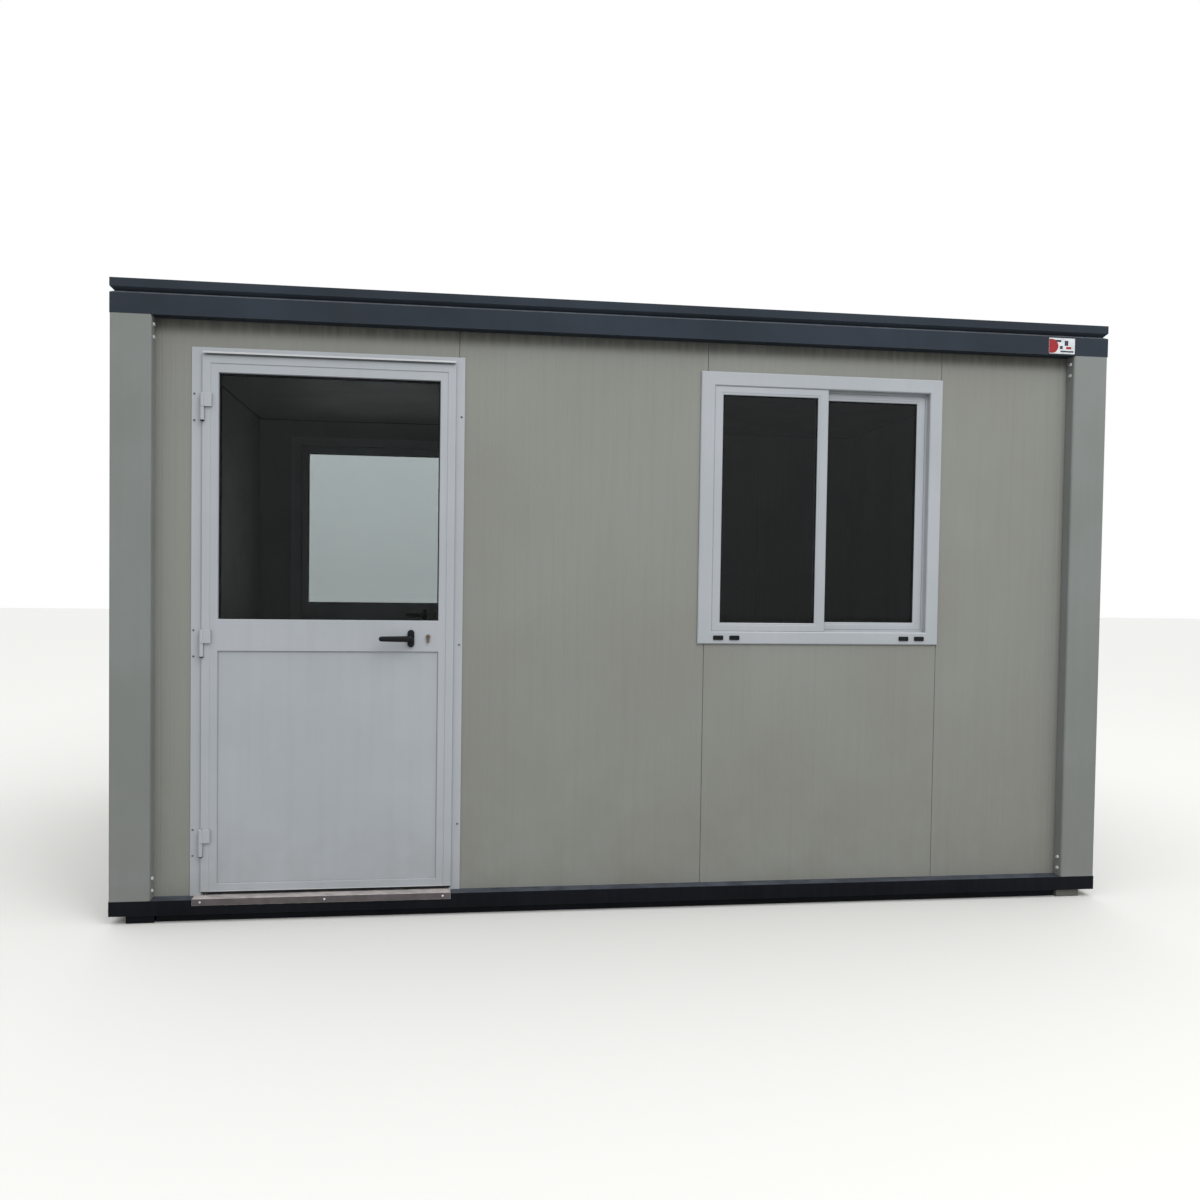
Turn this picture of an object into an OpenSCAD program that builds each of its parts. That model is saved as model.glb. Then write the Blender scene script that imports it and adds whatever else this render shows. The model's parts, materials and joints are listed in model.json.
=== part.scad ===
// Portable site cabin: a steel frame on skids, walls of sandwich panels, a half-glazed
// door in each long side and a sliding window in the front.
// The modules work from the front left corner: x along the front, y behind the front
// plane, z up from the ground. front() and rear() put what they draw on the two long
// sides, and centred() only moves the corner to the model's origin, at bottom centre.

/* [Cabin] */
// Overall length
cabin_l = 4000; // [3850:10:6000]
// Overall width, from the front plane to the rear plane
cabin_w = 2400; // [2000:10:3000]
// Overall height, from the feet to the roof edge
cabin_h = 2416; // [2400:1:2900]

/* [Floor frame] */
// Height of the skids and feet
skid_h = 32; // [20:1:120]
// Width of a skid
skid_w = 60; // [40:1:90]
// Set-back of the skids and feet behind the long sides
skid_inset = 25; // [10:1:35]
// Length of a foot
foot_l = 104; // [60:1:160]
// Distance from each end of the cabin to its feet
foot_inset = 58; // [20:1:120]
// Gap between a foot and the skid
foot_gap = 3; // [1:1:10]
// Height of the floor beams
base_h = 57; // [50:1:160]
// Sheet thickness of the beams
beam_t = 4; // [3:0.5:8]
// Depth of the beams' flanges
beam_d = 100; // [95:1:110]
// Width of a floor joist
joist_w = 50; // [30:1:80]
// Number of floor joists
joist_n = 7; // [4:1:12]
// Length of a joist's bearing on the beam's lower flange
joist_bearing = 40; // [20:1:60]
// Thickness of the floor deck
deck_t = 22; // [15:1:25]

/* [Roof] */
// Height of the roof beams' face
fascia_h = 77; // [60:1:200]
// Height of the groove above that face
groove_h = 22; // [10:1:40]
// Depth of the groove
groove_d = 14; // [6:1:30]
// Height of the groove's deepest line above the roof beams' face
groove_low = 8; // [2:1:9]
// Height of the roof edge strip
edge_h = 31.5; // [28:0.5:60]
// Width of the roof edge strip, seen from above
edge_w = 90; // [60:1:94]
// Sheet thickness of the roof edge strip
edge_t = 3; // [2:0.5:5]
// Thickness of the ceiling panel
ceiling_t = 40; // [30:1:60]
// Width of the ceiling panel's bearing on the beam's lower flange
ceiling_bearing = 40; // [20:1:60]
// Thickness of the roof sheet
sheet_t = 1.5; // [1:0.5:3]
// Height of the roof sheet's ribs
rib_h = 20; // [10:1:24]
// Width of a rib at its foot
rib_foot = 60; // [40:1:80]
// Width of a rib at its top
rib_top = 30; // [15:1:38]
// Spacing of the ribs
rib_pitch = 200; // [120:1:300]

/* [Posts] */
// Width of a corner post's faces
post_w = 150; // [110:1:200]
// Sheet thickness of the corner posts
post_t = 4; // [3:0.5:8]
// Diameter of the bolt heads in the posts' returns
bolt_d = 15; // [8:1:20]
// Height of those bolt heads
bolt_head = 5; // [3:1:8]
// Distances of the bolts from the ends of the post
bolt_from_end = [31, 78];

/* [Walls] */
// Thickness of the wall panels
panel_t = 40; // [30:1:44]
// Set-back of the panels' outer face behind the frame
recess = 51; // [45:1:55]
// Width of a wall module
module_w = 1000; // [1000:1:1100]
// Start of the door module, from the left end
door_module_x = 290; // [260:1:320]
// Gap between two panels
seam = 2; // [1:0.5:4]

/* [Door] */
// Width of the leaf, over its lip
leaf_w = 954; // [930:1:960]
// Sideways shift of the leaf from the middle of its module
leaf_shift = 10; // [0:1:12]
// Height of the leaf's top edge above the floor beam
leaf_top = 2064; // [1950:1:2100]
// Thickness of the leaf
leaf_t = 40; // [34:1:44]
// Overlap of the leaf's lip over the frame
lip_w = 24; // [15:1:26]
// Thickness of that lip
lip_t = 4; // [3:1:6]
// Clearance round the leaf
leaf_gap = 5; // [5:0.5:6]
// Clearance under the leaf
floor_gap = 6; // [5:0.5:15]
// Width of the leaf's stiles and top rail, over the lip
stile_w = 61; // [50:1:90]
// Height of the leaf's bottom rail
bottom_rail = 38; // [30:1:120]
// Height of the mid rail's lower edge above the floor beam
rail_z = 942; // [800:1:1000]
// Height of the mid rail
rail_h = 122; // [100:1:180]
// Thickness of the door's glass unit
glass_t = 24; // [6:1:28]
// Set-back of the glass behind the face of its frame
glass_back = 12; // [4:1:12]
// Set-back of the door's lower panel behind the leaf's face
infill_back = 8; // [4:1:12]
// Width of the frame over its flange
door_flange_w = 1030; // [1020:1:1040]
// Sideways shift of the flange from the middle of the module
door_flange_shift = 7; // [0:1:10]
// Width of the flange above the doorway
door_flange_head = 50; // [30:1:60]
// Thickness of the frame's flanges
flange_t = 4; // [3:0.5:6]
// Depth of the frame's body above the doorway
head_h = 35; // [20:1:45]
// Height of the drip strip over the leaf
drip_h = 7; // [5:1:15]
// Depth of the drip strip
drip_d = 20; // [15:1:30]
// Thickness of the steel sill
sill_t = 4; // [3:0.5:6]
// Height of the sill's front lip
sill_lip_h = 26; // [15:1:45]
// Set-in of the sill from the flange at its left and right end
sill_inset = [20, 36];
// Thickness of the sill's front lip
sill_lip_t = 3; // [2:0.5:5]

/* [Hinges] */
// Height of a hinge
hinge_h = 106; // [80:1:140]
// Radius of a hinge's knuckles
knuckle_r = 8; // [7:0.5:12]
// Radius of the hinge pin
pin_r = 4; // [3:0.5:5]
// Clearance of the pin in its knuckle
pin_gap = 0.05; // [0.02:0.01:0.1]
// Gap between the two halves of a hinge
hinge_split = 1; // [0.5:0.5:3]
// Reach of the hinge's plate over the leaf, from the pin
hinge_reach = 35; // [25:1:45]
// Thickness of the hinge's plate
hinge_plate_t = 3.5; // [3:0.5:5]
// Heights of the hinges' middles above the floor beam
hinge_z = [205, 971, 1868];

/* [Handle] */
// Distance of the lever's spindle from the middle of the module
spindle_x = 322; // [300:1:350]
// Height of the spindle above the floor beam
spindle_z = 994; // [960:1:1010]
// Length of the lever, from the spindle to its tip
lever_l = 121; // [90:1:140]
// Height of the lever's grip
lever_h = 22; // [16:1:26]
// Thickness of the lever's grip
lever_t = 12; // [10:1:16]
// Distance of the grip from the leaf
lever_reach = 44; // [38:1:60]
// Radius of the lever's neck
neck_r = 9; // [7:0.5:11]
// Radius of the spindle
spindle_r = 4.5; // [4:0.5:6]
// Clearance of the neck in the rose and of the spindle in the leaf
spindle_gap = 1; // [0.5:0.5:2]
// Width of a rose
rose_w = 27; // [24:1:34]
// Height of a rose
rose_h = 68; // [50:1:90]
// Thickness of a rose
rose_t = 8; // [6:1:12]
// Distance of the lock cylinder from the spindle
lock_x = 66.5; // [50:0.5:70]
// Radius of the lock cylinder's barrel
lock_r = 8.5; // [8:0.5:9]
// Radius of the lock cylinder's lower edge
lock_foot_r = 5; // [4:0.5:6]
// Height of the lock cylinder
lock_h = 33; // [30:1:36]
// How far the lock cylinder stands out of the leaf
lock_proud = 7; // [3:1:12]
// Clearance round the lock cylinder
lock_gap = 0.3; // [0.2:0.1:1]

/* [Window] */
// Width of the window over its flange
window_w = 1032; // [1020:1:1040]
// Height of the window over its flange
window_h = 1104; // [900:1:1160]
// Height of the flange's top edge above the floor beam
window_top = 2082; // [1990:1:2150]
// Sideways shift of the flange from the middle of the module
window_shift = -12; // [-12:1:12]
// Width of the frame's face at the left, right, top and bottom
window_face = [58, 54, 57, 52];
// How far the flange stands out of the panel
window_proud = 8; // [4:1:12]
// Width of the rear track's rim
track_rim = 9; // [5:1:15]
// Thickness of a sash
sash_t = 20; // [16:1:22]
// Set-back of the front sash behind the frame's face
sash_back = 4; // [2:1:10]
// Gap between the two sashes
sash_gap = 2; // [1:0.5:4]
// Overlap of the two sashes in the middle
sash_overlap = 40; // [30:1:50]
// Width of the sash at its outer side, middle stile, top and bottom rail
sash_face = [36, 45, 36, 36];
// Thickness of a window pane
pane_t = 10; // [4:1:14]
// Distance of the window's inner edge behind the panel's inner face
window_inner = 9; // [6:1:20]
// Width, height and thickness of a weep cap
cap_size = [42, 18, 5];
// Distances of the weep caps' middles from the middle of the window's module
cap_x = [-442, -374, 353, 421];

/* [Label] */
// Width, height and thickness of the plain label on the roof beam
label_size = [116, 65, 1];
// Distance of the label from the right end
label_x = 152; // [120:1:400]

/* [Hidden] */
$fn = 48;
slack = 1; // how far cuts run past the faces they open
base_z = skid_h + base_h; // top of the floor frame
fascia_z = cabin_h - edge_h - groove_h - fascia_h; // underside of the roof beams
edge_z = cabin_h - edge_h; // lower edge of the roof edge strip's face
groove_z = fascia_z + fascia_h + groove_low; // top of the roof beams, where the strip stands
wall_h = fascia_z - base_z;
panel_in = recess + panel_t; // inner face of the panels, behind the front plane
fit = 1; // gap between a frame's body and the panels round it

door_mid = door_module_x + module_w / 2;
frame_side = module_w / 2 - fit - seam; // half width of a door's or window's body
leaf_mid = door_mid + leaf_shift;
leaf_x = [leaf_mid - leaf_w / 2, leaf_mid + leaf_w / 2];
core_x = [leaf_x[0] + lip_w, leaf_x[1] - lip_w]; // the leaf without its lip
leaf_z = [base_z + sill_t + floor_gap, base_z + leaf_top];
core_top = leaf_z[1] - lip_w;
doorway_x = [core_x[0] - leaf_gap, core_x[1] + leaf_gap];
doorway_top = core_top + leaf_gap;
door_flange_x = [for (s = [-1, 1]) door_mid + door_flange_shift + s * door_flange_w / 2];
flange_front = recess - flange_t;
leaf_front = flange_front - leaf_gap - lip_t;
leaf_back = leaf_front + leaf_t;
light_x = [leaf_x[0] + stile_w, leaf_x[1] - stile_w]; // clear width of the leaf's openings
upper_z = [base_z + rail_z + rail_h, leaf_z[1] - stile_w - 5];
lower_z = [leaf_z[0] + bottom_rail, base_z + rail_z];
pin_x = leaf_x[0] + 1;
pin_y = leaf_front - lip_t;
spindle = [door_mid + spindle_x, base_z + spindle_z];

window_mid = door_mid + 2 * module_w;
window_x = [for (s = [-1, 1]) window_mid + window_shift + s * window_w / 2];
window_z = [base_z + window_top - window_h, base_z + window_top];
sight_x = [window_x[0] + window_face[0], window_x[1] - window_face[1]];
sight_z = [window_z[0] + window_face[3], window_z[1] - window_face[2]];
window_wall_z = [window_z[0] + 16, window_z[1] - 16]; // the window's body in the wall
sash_front = recess - window_proud + sash_back;
rim_front = sash_front + sash_t + sash_gap / 2;
sash_split = (sight_x[0] + sight_x[1]) / 2 - 3;

frame_colour = "#3a434c";
base_colour = "#22262b";
post_colour = "#9a9e9d";
panel_colour = "#a3a59c";
white_colour = "#b9bec3";
black_colour = "#1c1c20";

// Placing helpers

module centred() {
    translate([-cabin_l / 2, -cabin_w / 2, 0]) children();
}

module front() {
    centred() children();
}

module rear() {
    mirror([0, 1, 0]) centred() children();
}

module right() {
    mirror([1, 0, 0]) centred() children();
}

module both_long_sides() {
    front() children();
    rear() children();
}

module both_ends() {
    centred() children();
    right() children();
}

// A range moved in by d at both ends
function inset(range, d) = [range[0] + d, range[1] - d];

// A box between two x, two y and two z
module block(x, y, z) {
    translate([x[0], y[0], z[0]]) cube([x[1] - x[0], y[1] - y[0], z[1] - z[0]]);
}

// A channel that lies along x, with its web in front and its open side inwards. plate is the
// thickness of its end plates, or -slack where its ends are open.
module channel(x, z, plate) {
    difference() {
        block(x, [0, beam_d], z);
        block(inset(x, plate), [beam_t, beam_d + slack], inset(z, beam_t));
    }
}

// The same length of profile along the end of the cabin: x and y change places
module along_end() {
    multmatrix([[0, 1, 0, 0], [1, 0, 0, 0], [0, 0, 1, 0], [0, 0, 0, 1]]) children();
}

// Floor frame

module skids() {
    color(base_colour) both_long_sides()
        block([foot_inset + foot_l + foot_gap, cabin_l - foot_inset - foot_l - foot_gap],
              [skid_inset, skid_inset + skid_w], [0, skid_h]);
}

module feet() {
    color(frame_colour) both_long_sides()
        for (x = [foot_inset, cabin_l - foot_inset - foot_l])
            block([x, x + foot_l], [skid_inset / 2, skid_inset + skid_w], [0, skid_h]);
}

module base_beams_long() {
    color(base_colour) both_long_sides()
        channel([0, cabin_l], [skid_h, base_z], beam_t);
}

module base_beams_end() {
    color(base_colour) both_ends() along_end()
        channel([beam_d, cabin_w - beam_d], [skid_h, base_z], -slack);
}

module floor_joists() {
    first = beam_d + joist_w;
    pitch = (cabin_l - 2 * first) / (joist_n - 1);
    side = beam_d - joist_bearing;
    color(frame_colour) centred()
        for (i = [0 : joist_n - 1])
            block([first + i * pitch - joist_w / 2, first + i * pitch + joist_w / 2],
                  [side, cabin_w - side], [skid_h + beam_t, base_z - deck_t]);
}

module floor_deck() {
    color("#77706a") centred()
        block([beam_d, cabin_l - beam_d], [beam_d, cabin_w - beam_d], [base_z - deck_t, base_z]);
}

// Posts

// Plan of a corner post: an angle with legs as deep as the panels are set back
module post_plan(grow) {
    d = recess - grow;
    polygon([[grow, grow], [post_w - grow, grow], [post_w - grow, d], [d, d],
             [d, post_w - grow], [grow, post_w - grow]]);
}

module post() {
    translate([0, 0, base_z]) linear_extrude(wall_h) difference() {
        post_plan(0);
        post_plan(post_t);
    }
}

module front_posts() {
    color(post_colour) both_ends() post();
}

module rear_posts() {
    color(post_colour) mirror([0, 1, 0]) both_ends() post();
}

module post_bolt_pair(z) {
    translate([post_w, recess / 2, z]) rotate([0, 90, 0]) cylinder(d = bolt_d, h = bolt_head);
    translate([recess / 2, post_w, z]) rotate([-90, 0, 0]) cylinder(d = bolt_d, h = bolt_head);
}

module post_bolts() {
    color("#c9ccd0") for (flip = [0, 1]) mirror([0, flip, 0]) both_ends()
        for (d = bolt_from_end) {
            post_bolt_pair(base_z + d);
            post_bolt_pair(fascia_z - d);
        }
}

// Roof

// The roof's outline seen from an end, as [set-back from the side, height]: the beam's face,
// the slope into the groove, the slope out of it and the edge strip's face
beam_line = [[0, fascia_z], [0, fascia_z + fascia_h], [groove_d, groove_z]];
edge_line = [[groove_d, groove_z], [0, edge_z], [0, cabin_h]];

module across(width, line) {
    last = len(line) - 1;
    polygon(concat(line, [for (i = [last : -1 : 0]) [width - line[i][0], line[i][1]]]));
}

// The whole roof between two heights, with the same outline on all four sides
module roof_block(line) {
    intersection() {
        rotate([90, 0, 90]) linear_extrude(cabin_l) across(cabin_w, line);
        translate([0, cabin_w, 0]) rotate([90, 0, 0]) linear_extrude(cabin_w)
            across(cabin_l, line);
    }
}

// A member along a long side, d deep and with end plates: the roof block less two hollows,
// one behind the face of thickness t and one behind the slopes, as far as back
module long_member(line, d, t, back, face_z, slope_z) {
    deep = groove_d + t;
    difference() {
        intersection() {
            roof_block(line);
            block([0, cabin_l], [0, d], [fascia_z, cabin_h]);
        }
        block(inset([0, cabin_l], t), [t, back], face_z);
        block(inset([0, cabin_l], deep), [deep, back], slope_z);
    }
}

// The same along an end, between the long members and open at both ends
module end_member(line, d, t, back, face_z, slope_z) {
    y = [d, cabin_w - d];
    difference() {
        intersection() {
            roof_block(line);
            block([0, d], y, [fascia_z, cabin_h]);
        }
        block([t, back], inset(y, -slack), face_z);
        block([groove_d + t, back], inset(y, -slack), slope_z);
    }
}

beam_face_z = [fascia_z + beam_t, fascia_z + fascia_h - beam_t];
beam_slope_z = [fascia_z + beam_t, groove_z - beam_t];
edge_face_z = [edge_z, cabin_h - edge_t];
edge_slope_z = [groove_z - slack, cabin_h - edge_t];

module roof_beams_long() {
    color(frame_colour) both_long_sides()
        long_member(beam_line, beam_d, beam_t, beam_d + slack, beam_face_z, beam_slope_z);
}

module roof_beams_end() {
    color(frame_colour) both_ends()
        end_member(beam_line, beam_d, beam_t, beam_d + slack, beam_face_z, beam_slope_z);
}

module roof_edge_long() {
    color(frame_colour) both_long_sides()
        long_member(edge_line, edge_w, edge_t, edge_w - edge_t, edge_face_z, edge_slope_z);
}

module roof_edge_end() {
    color(frame_colour) both_ends()
        end_member(edge_line, edge_w, edge_t, edge_w - edge_t, edge_face_z, edge_slope_z);
}

// One rib's outline, from its left foot to its right foot, moved by x and z
function rib_line(x, z) = [
    [x - rib_foot / 2, z], [x - rib_top / 2, z + rib_h],
    [x + rib_top / 2, z + rib_h], [x + rib_foot / 2, z]
];

module roof_sheet() {
    length = cabin_l - 2 * edge_w;
    n = floor((length - rib_foot) / rib_pitch);
    first = length / 2 - (n - 1) * rib_pitch / 2;
    ribs = [for (i = [0 : n - 1]) first + i * rib_pitch];
    top = [for (x = ribs) each rib_line(x, sheet_t)];
    under = [for (i = [n - 1 : -1 : 0]) each [for (k = [3 : -1 : 0]) rib_line(ribs[i], 0)[k]]];
    color("#8d9499") centred() translate([edge_w, cabin_w - edge_w, groove_z])
        rotate([90, 0, 0]) linear_extrude(cabin_w - 2 * edge_w)
            polygon(concat([[0, 0], [0, sheet_t]], top, [[length, sheet_t], [length, 0]], under));
}

module ceiling_panel() {
    side = beam_d - ceiling_bearing;
    color("#b8bab8") centred()
        block([side, cabin_l - side], [side, cabin_w - side],
              [fascia_z + beam_t, fascia_z + beam_t + ceiling_t]);
}

// Walls

module wall_panel(x, z) {
    color(panel_colour) block([x[0] + seam / 2, x[1] - seam / 2], [recess, panel_in], z);
}

// Start of wall module number i, counted from the door's
function module_x(i) = door_module_x + i * module_w;

module front_panel_left() {
    front() wall_panel([recess, module_x(0)], [base_z, fascia_z]);
}

module over_door() {
    wall_panel([module_x(0), module_x(1)], [doorway_top + head_h + fit, fascia_z]);
}

module front_panel_over_door() {
    front() over_door();
}

module front_panel_middle() {
    front() wall_panel([module_x(1), module_x(2)], [base_z, fascia_z]);
}

module front_panel_over_window() {
    front() wall_panel([module_x(2), module_x(3)], [window_wall_z[1] + fit, fascia_z]);
}

module front_panel_under_window() {
    front() wall_panel([module_x(2), module_x(3)], [base_z, window_wall_z[0] - fit]);
}

module front_panel_right() {
    front() wall_panel([module_x(3), cabin_l - recess], [base_z, fascia_z]);
}

module rear_panels() {
    rear() {
        wall_panel([recess, module_x(0)], [base_z, fascia_z]);
        wall_panel([module_x(1), module_x(2)], [base_z, fascia_z]);
        wall_panel([module_x(2), module_x(3)], [base_z, fascia_z]);
        wall_panel([module_x(3), cabin_l - recess], [base_z, fascia_z]);
    }
}

module rear_panel_over_door() {
    rear() over_door();
}

module end_panels() {
    joints = [panel_in, (cabin_w - module_w) / 2, (cabin_w + module_w) / 2, cabin_w - panel_in];
    along_end() for (i = [0 : len(joints) - 2])
        wall_panel([joints[i], joints[i + 1]], [base_z, fascia_z]);
}

module left_end_panels() {
    centred() end_panels();
}

module right_end_panels() {
    right() end_panels();
}

// Doors

// Outline of a door frame's member: from x[0] to x[1] at the sides and up to z,
// round a doorway that is open at the floor
module door_surround(x, z, y) {
    difference() {
        block(x, y, [base_z, z]);
        block(doorway_x, [y[0] - slack, y[1] + slack], [base_z - slack, doorway_top]);
    }
}

module door_frame() {
    top = doorway_top + door_flange_head;
    color(white_colour) {
        door_surround(door_flange_x, top, [flange_front, recess]);
        door_surround([door_mid - frame_side, door_mid + frame_side], doorway_top + head_h,
                      [recess, panel_in]);
        door_surround(door_flange_x, top, [panel_in, panel_in + flange_t]);
        drip = leaf_z[1] + leaf_gap;
        block(leaf_x, [flange_front - drip_d, flange_front], [drip, drip + drip_h]);
    }
}

module door_sill() {
    x = [door_flange_x[0] + sill_inset[0], door_flange_x[1] - sill_inset[1]];
    z = [base_z, base_z + sill_t];
    color("#8a817b") {
        block(x, [-sill_lip_t, flange_front], z);
        block(doorway_x, [flange_front, panel_in + flange_t], z);
        block(x, [-sill_lip_t, 0], [z[1] - sill_lip_h, z[1]]);
    }
}

// A bore along y, through all the thickness of the leaf and what lies on it
module bore_y(at, r) {
    depth = 2 * lever_reach + leaf_t;
    translate([at[0], leaf_back + lever_reach, at[1]]) rotate([90, 0, 0]) cylinder(r = r, h = depth);
}

// Section of the lock cylinder: a barrel over a narrower key body
module lock_section(grow) {
    circle(lock_r + grow);
    translate([-lock_foot_r - grow, lock_r + lock_foot_r - lock_h])
        square([2 * (lock_foot_r + grow), lock_h - lock_r - lock_foot_r]);
    translate([0, lock_r + lock_foot_r - lock_h]) circle(lock_foot_r + grow);
}

module lock_body(grow, proud) {
    translate([spindle[0] + lock_x, leaf_back + proud, spindle[1] + lock_h / 2 - lock_r])
        rotate([90, 0, 0]) linear_extrude(leaf_t + 2 * proud) lock_section(grow);
}

module door_leaf() {
    through = [leaf_front - slack, leaf_back + slack];
    color(white_colour) difference() {
        union() {
            block(leaf_x, [leaf_front, leaf_front + lip_t], leaf_z);
            block(core_x, [leaf_front, leaf_back], [leaf_z[0], core_top]);
        }
        block(light_x, through, upper_z);
        block(light_x, through, lower_z);
        bore_y(spindle, spindle_r + spindle_gap);
        lock_body(lock_gap, slack);
        for (z = hinge_z) // room for the knuckles at the lip's edge
            block([leaf_x[0] - slack, pin_x + knuckle_r + hinge_split], through,
                  [base_z + z - hinge_h / 2 - hinge_split, base_z + z + hinge_h / 2 + hinge_split]);
    }
}

module door_glass() {
    y = leaf_front + glass_back;
    color("#2c3235", 0.5) block(light_x, [y, y + glass_t], upper_z);
}

module door_lower_panel() {
    y = leaf_front + infill_back;
    color(white_colour) block(light_x, [y, y + glass_t], lower_z);
}

// Lower halves of the hinges, with their pins, on the door frame
module door_hinges_fixed() {
    color(white_colour) for (z = hinge_z) translate([pin_x, pin_y, base_z + z]) {
        low = -hinge_h / 2;
        translate([0, 0, low]) cylinder(r = knuckle_r, h = -low - hinge_split / 2);
        block([-knuckle_r, knuckle_r], [0, flange_front - pin_y], [low, -hinge_split / 2]);
        translate([0, 0, low]) cylinder(r = pin_r, h = hinge_h);
    }
}

// Upper halves of the hinges, on the leaf
module door_hinges_moving() {
    color(white_colour) for (z = hinge_z) translate([pin_x, pin_y, base_z + z + hinge_split / 2]) {
        h = (hinge_h - hinge_split) / 2;
        difference() {
            union() {
                cylinder(r = knuckle_r, h = h);
                block([0, hinge_reach], [lip_t - hinge_plate_t, lip_t], [0, h]);
            }
            translate([0, 0, -slack]) cylinder(r = pin_r + pin_gap, h = h + 2 * slack);
        }
    }
}

// One grip with its neck, from the leaf's face outwards along +y
module lever_half() {
    rotate([-90, 0, 0]) cylinder(r = neck_r, h = lever_reach);
    block([-lever_l + lever_h / 2, 0], [lever_reach - lever_t, lever_reach],
          [-lever_h / 2, lever_h / 2]);
    for (x = [-lever_l + lever_h / 2, 0])
        translate([x, lever_reach - lever_t, 0]) rotate([-90, 0, 0])
            cylinder(d = lever_h, h = lever_t);
}

module door_lever() {
    color(black_colour) translate([spindle[0], 0, spindle[1]]) {
        translate([0, leaf_front, 0]) mirror([0, 1, 0]) lever_half();
        translate([0, leaf_back, 0]) lever_half();
        translate([0, leaf_back, 0]) rotate([90, 0, 0]) cylinder(r = spindle_r, h = leaf_t);
    }
}

// A rose with round ends, on the leaf's face
module rose(y) {
    straight = (rose_h - rose_w) / 2;
    translate([spindle[0], y, spindle[1]]) rotate([-90, 0, 0]) linear_extrude(rose_t)
        difference() {
            union() {
                square([rose_w, 2 * straight], center = true);
                for (s = [-1, 1]) translate([0, s * straight]) circle(d = rose_w);
            }
            circle(neck_r + spindle_gap);
        }
}

module door_lock() {
    color(black_colour) {
        rose(leaf_front - rose_t);
        rose(leaf_back);
    }
    color("#8a6f5c") lock_body(0, lock_proud);
}

module front_door_frame() { front() door_frame(); }
module front_door_sill() { front() door_sill(); }
module front_door_leaf() { front() door_leaf(); }
module front_door_glass() { front() door_glass(); }
module front_door_lower_panel() { front() door_lower_panel(); }
module front_door_hinges_fixed() { front() door_hinges_fixed(); }
module front_door_hinges_moving() { front() door_hinges_moving(); }
module front_door_lever() { front() door_lever(); }
module front_door_lock() { front() door_lock(); }

module rear_door_frame() { rear() door_frame(); }
module rear_door_sill() { rear() door_sill(); }
module rear_door_leaf() { rear() door_leaf(); }
module rear_door_glass() { rear() door_glass(); }
module rear_door_lower_panel() { rear() door_lower_panel(); }
module rear_door_hinges_fixed() { rear() door_hinges_fixed(); }
module rear_door_hinges_moving() { rear() door_hinges_moving(); }
module rear_door_lever() { rear() door_lever(); }
module rear_door_lock() { rear() door_lock(); }

// Window

// A rectangular frame between the faces y, cut out by the inner ranges
module ring(x, z, y, inner_x, inner_z) {
    difference() {
        block(x, y, z);
        block(inner_x, inset(y, -slack), inner_z);
    }
}

module window_frame() {
    body_x = [window_mid - frame_side, window_mid + frame_side];
    rim_x = inset(sight_x, track_rim);
    rim_z = inset(sight_z, track_rim);
    color(white_colour) front() {
        ring(window_x, window_z, [recess - window_proud, recess], sight_x, sight_z);
        ring(body_x, window_wall_z, [recess, rim_front], sight_x, sight_z);
        ring(body_x, window_wall_z, [rim_front, panel_in + window_inner], rim_x, rim_z);
        ring(window_x, window_z, [panel_in, panel_in + flange_t], rim_x, rim_z);
    }
}

// Clear openings of the two sashes
left_light_x = [sight_x[0] + sash_face[0], sash_split + sash_face[1] / 2 - sash_face[1]];
right_light_x = [sash_split + sash_face[1] / 2, sight_x[1] - track_rim - sash_face[0]];
left_light_z = [sight_z[0] + sash_face[3], sight_z[1] - sash_face[2]];
right_light_z = inset(left_light_z, track_rim / 2);

module window_left_sash() {
    color(white_colour) front()
        ring([sight_x[0], left_light_x[1] + sash_face[1]], sight_z,
             [sash_front, sash_front + sash_t], left_light_x, left_light_z);
}

module window_right_sash() {
    y = rim_front + sash_gap / 2;
    color(white_colour) front()
        ring([right_light_x[0] - sash_overlap, sight_x[1] - track_rim], inset(sight_z, track_rim),
             [y, y + sash_t], right_light_x, right_light_z);
}

module window_glass() {
    back = (sash_t - pane_t) / 2;
    front_y = sash_front + back;
    rear_y = rim_front + sash_gap / 2 + back;
    color("#2a2f33", 0.5) front() {
        block(left_light_x, [front_y, front_y + pane_t], left_light_z);
        block(right_light_x, [rear_y, rear_y + pane_t], right_light_z);
    }
}

module window_weep_caps() {
    z = (window_z[0] + sight_z[0]) / 2 - cap_size[1] / 2;
    y = recess - window_proud;
    color(black_colour) front() for (x = cap_x)
        block([window_mid + x - cap_size[0] / 2, window_mid + x + cap_size[0] / 2],
              [y - cap_size[2], y], [z, z + cap_size[1]]);
}

module fascia_label() {
    x = cabin_l - label_x - label_size[0];
    z = fascia_z + (fascia_h - label_size[1]) / 2;
    color("#d8d8d6") front()
        block([x, x + label_size[0]], [-label_size[2], 0], [z, z + label_size[1]]);
}

skids();
feet();
base_beams_long();
base_beams_end();
floor_joists();
floor_deck();
front_posts();
rear_posts();
post_bolts();
roof_beams_long();
roof_beams_end();
roof_edge_long();
roof_edge_end();
roof_sheet();
ceiling_panel();
front_panel_left();
front_panel_over_door();
front_panel_middle();
front_panel_over_window();
front_panel_under_window();
front_panel_right();
rear_panels();
rear_panel_over_door();
left_end_panels();
right_end_panels();
front_door_frame();
front_door_sill();
front_door_leaf();
front_door_glass();
front_door_lower_panel();
front_door_hinges_fixed();
front_door_hinges_moving();
front_door_lever();
front_door_lock();
rear_door_frame();
rear_door_sill();
rear_door_leaf();
rear_door_glass();
rear_door_lower_panel();
rear_door_hinges_fixed();
rear_door_hinges_moving();
rear_door_lever();
rear_door_lock();
window_frame();
window_left_sash();
window_right_sash();
window_glass();
window_weep_caps();
fascia_label();
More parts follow.
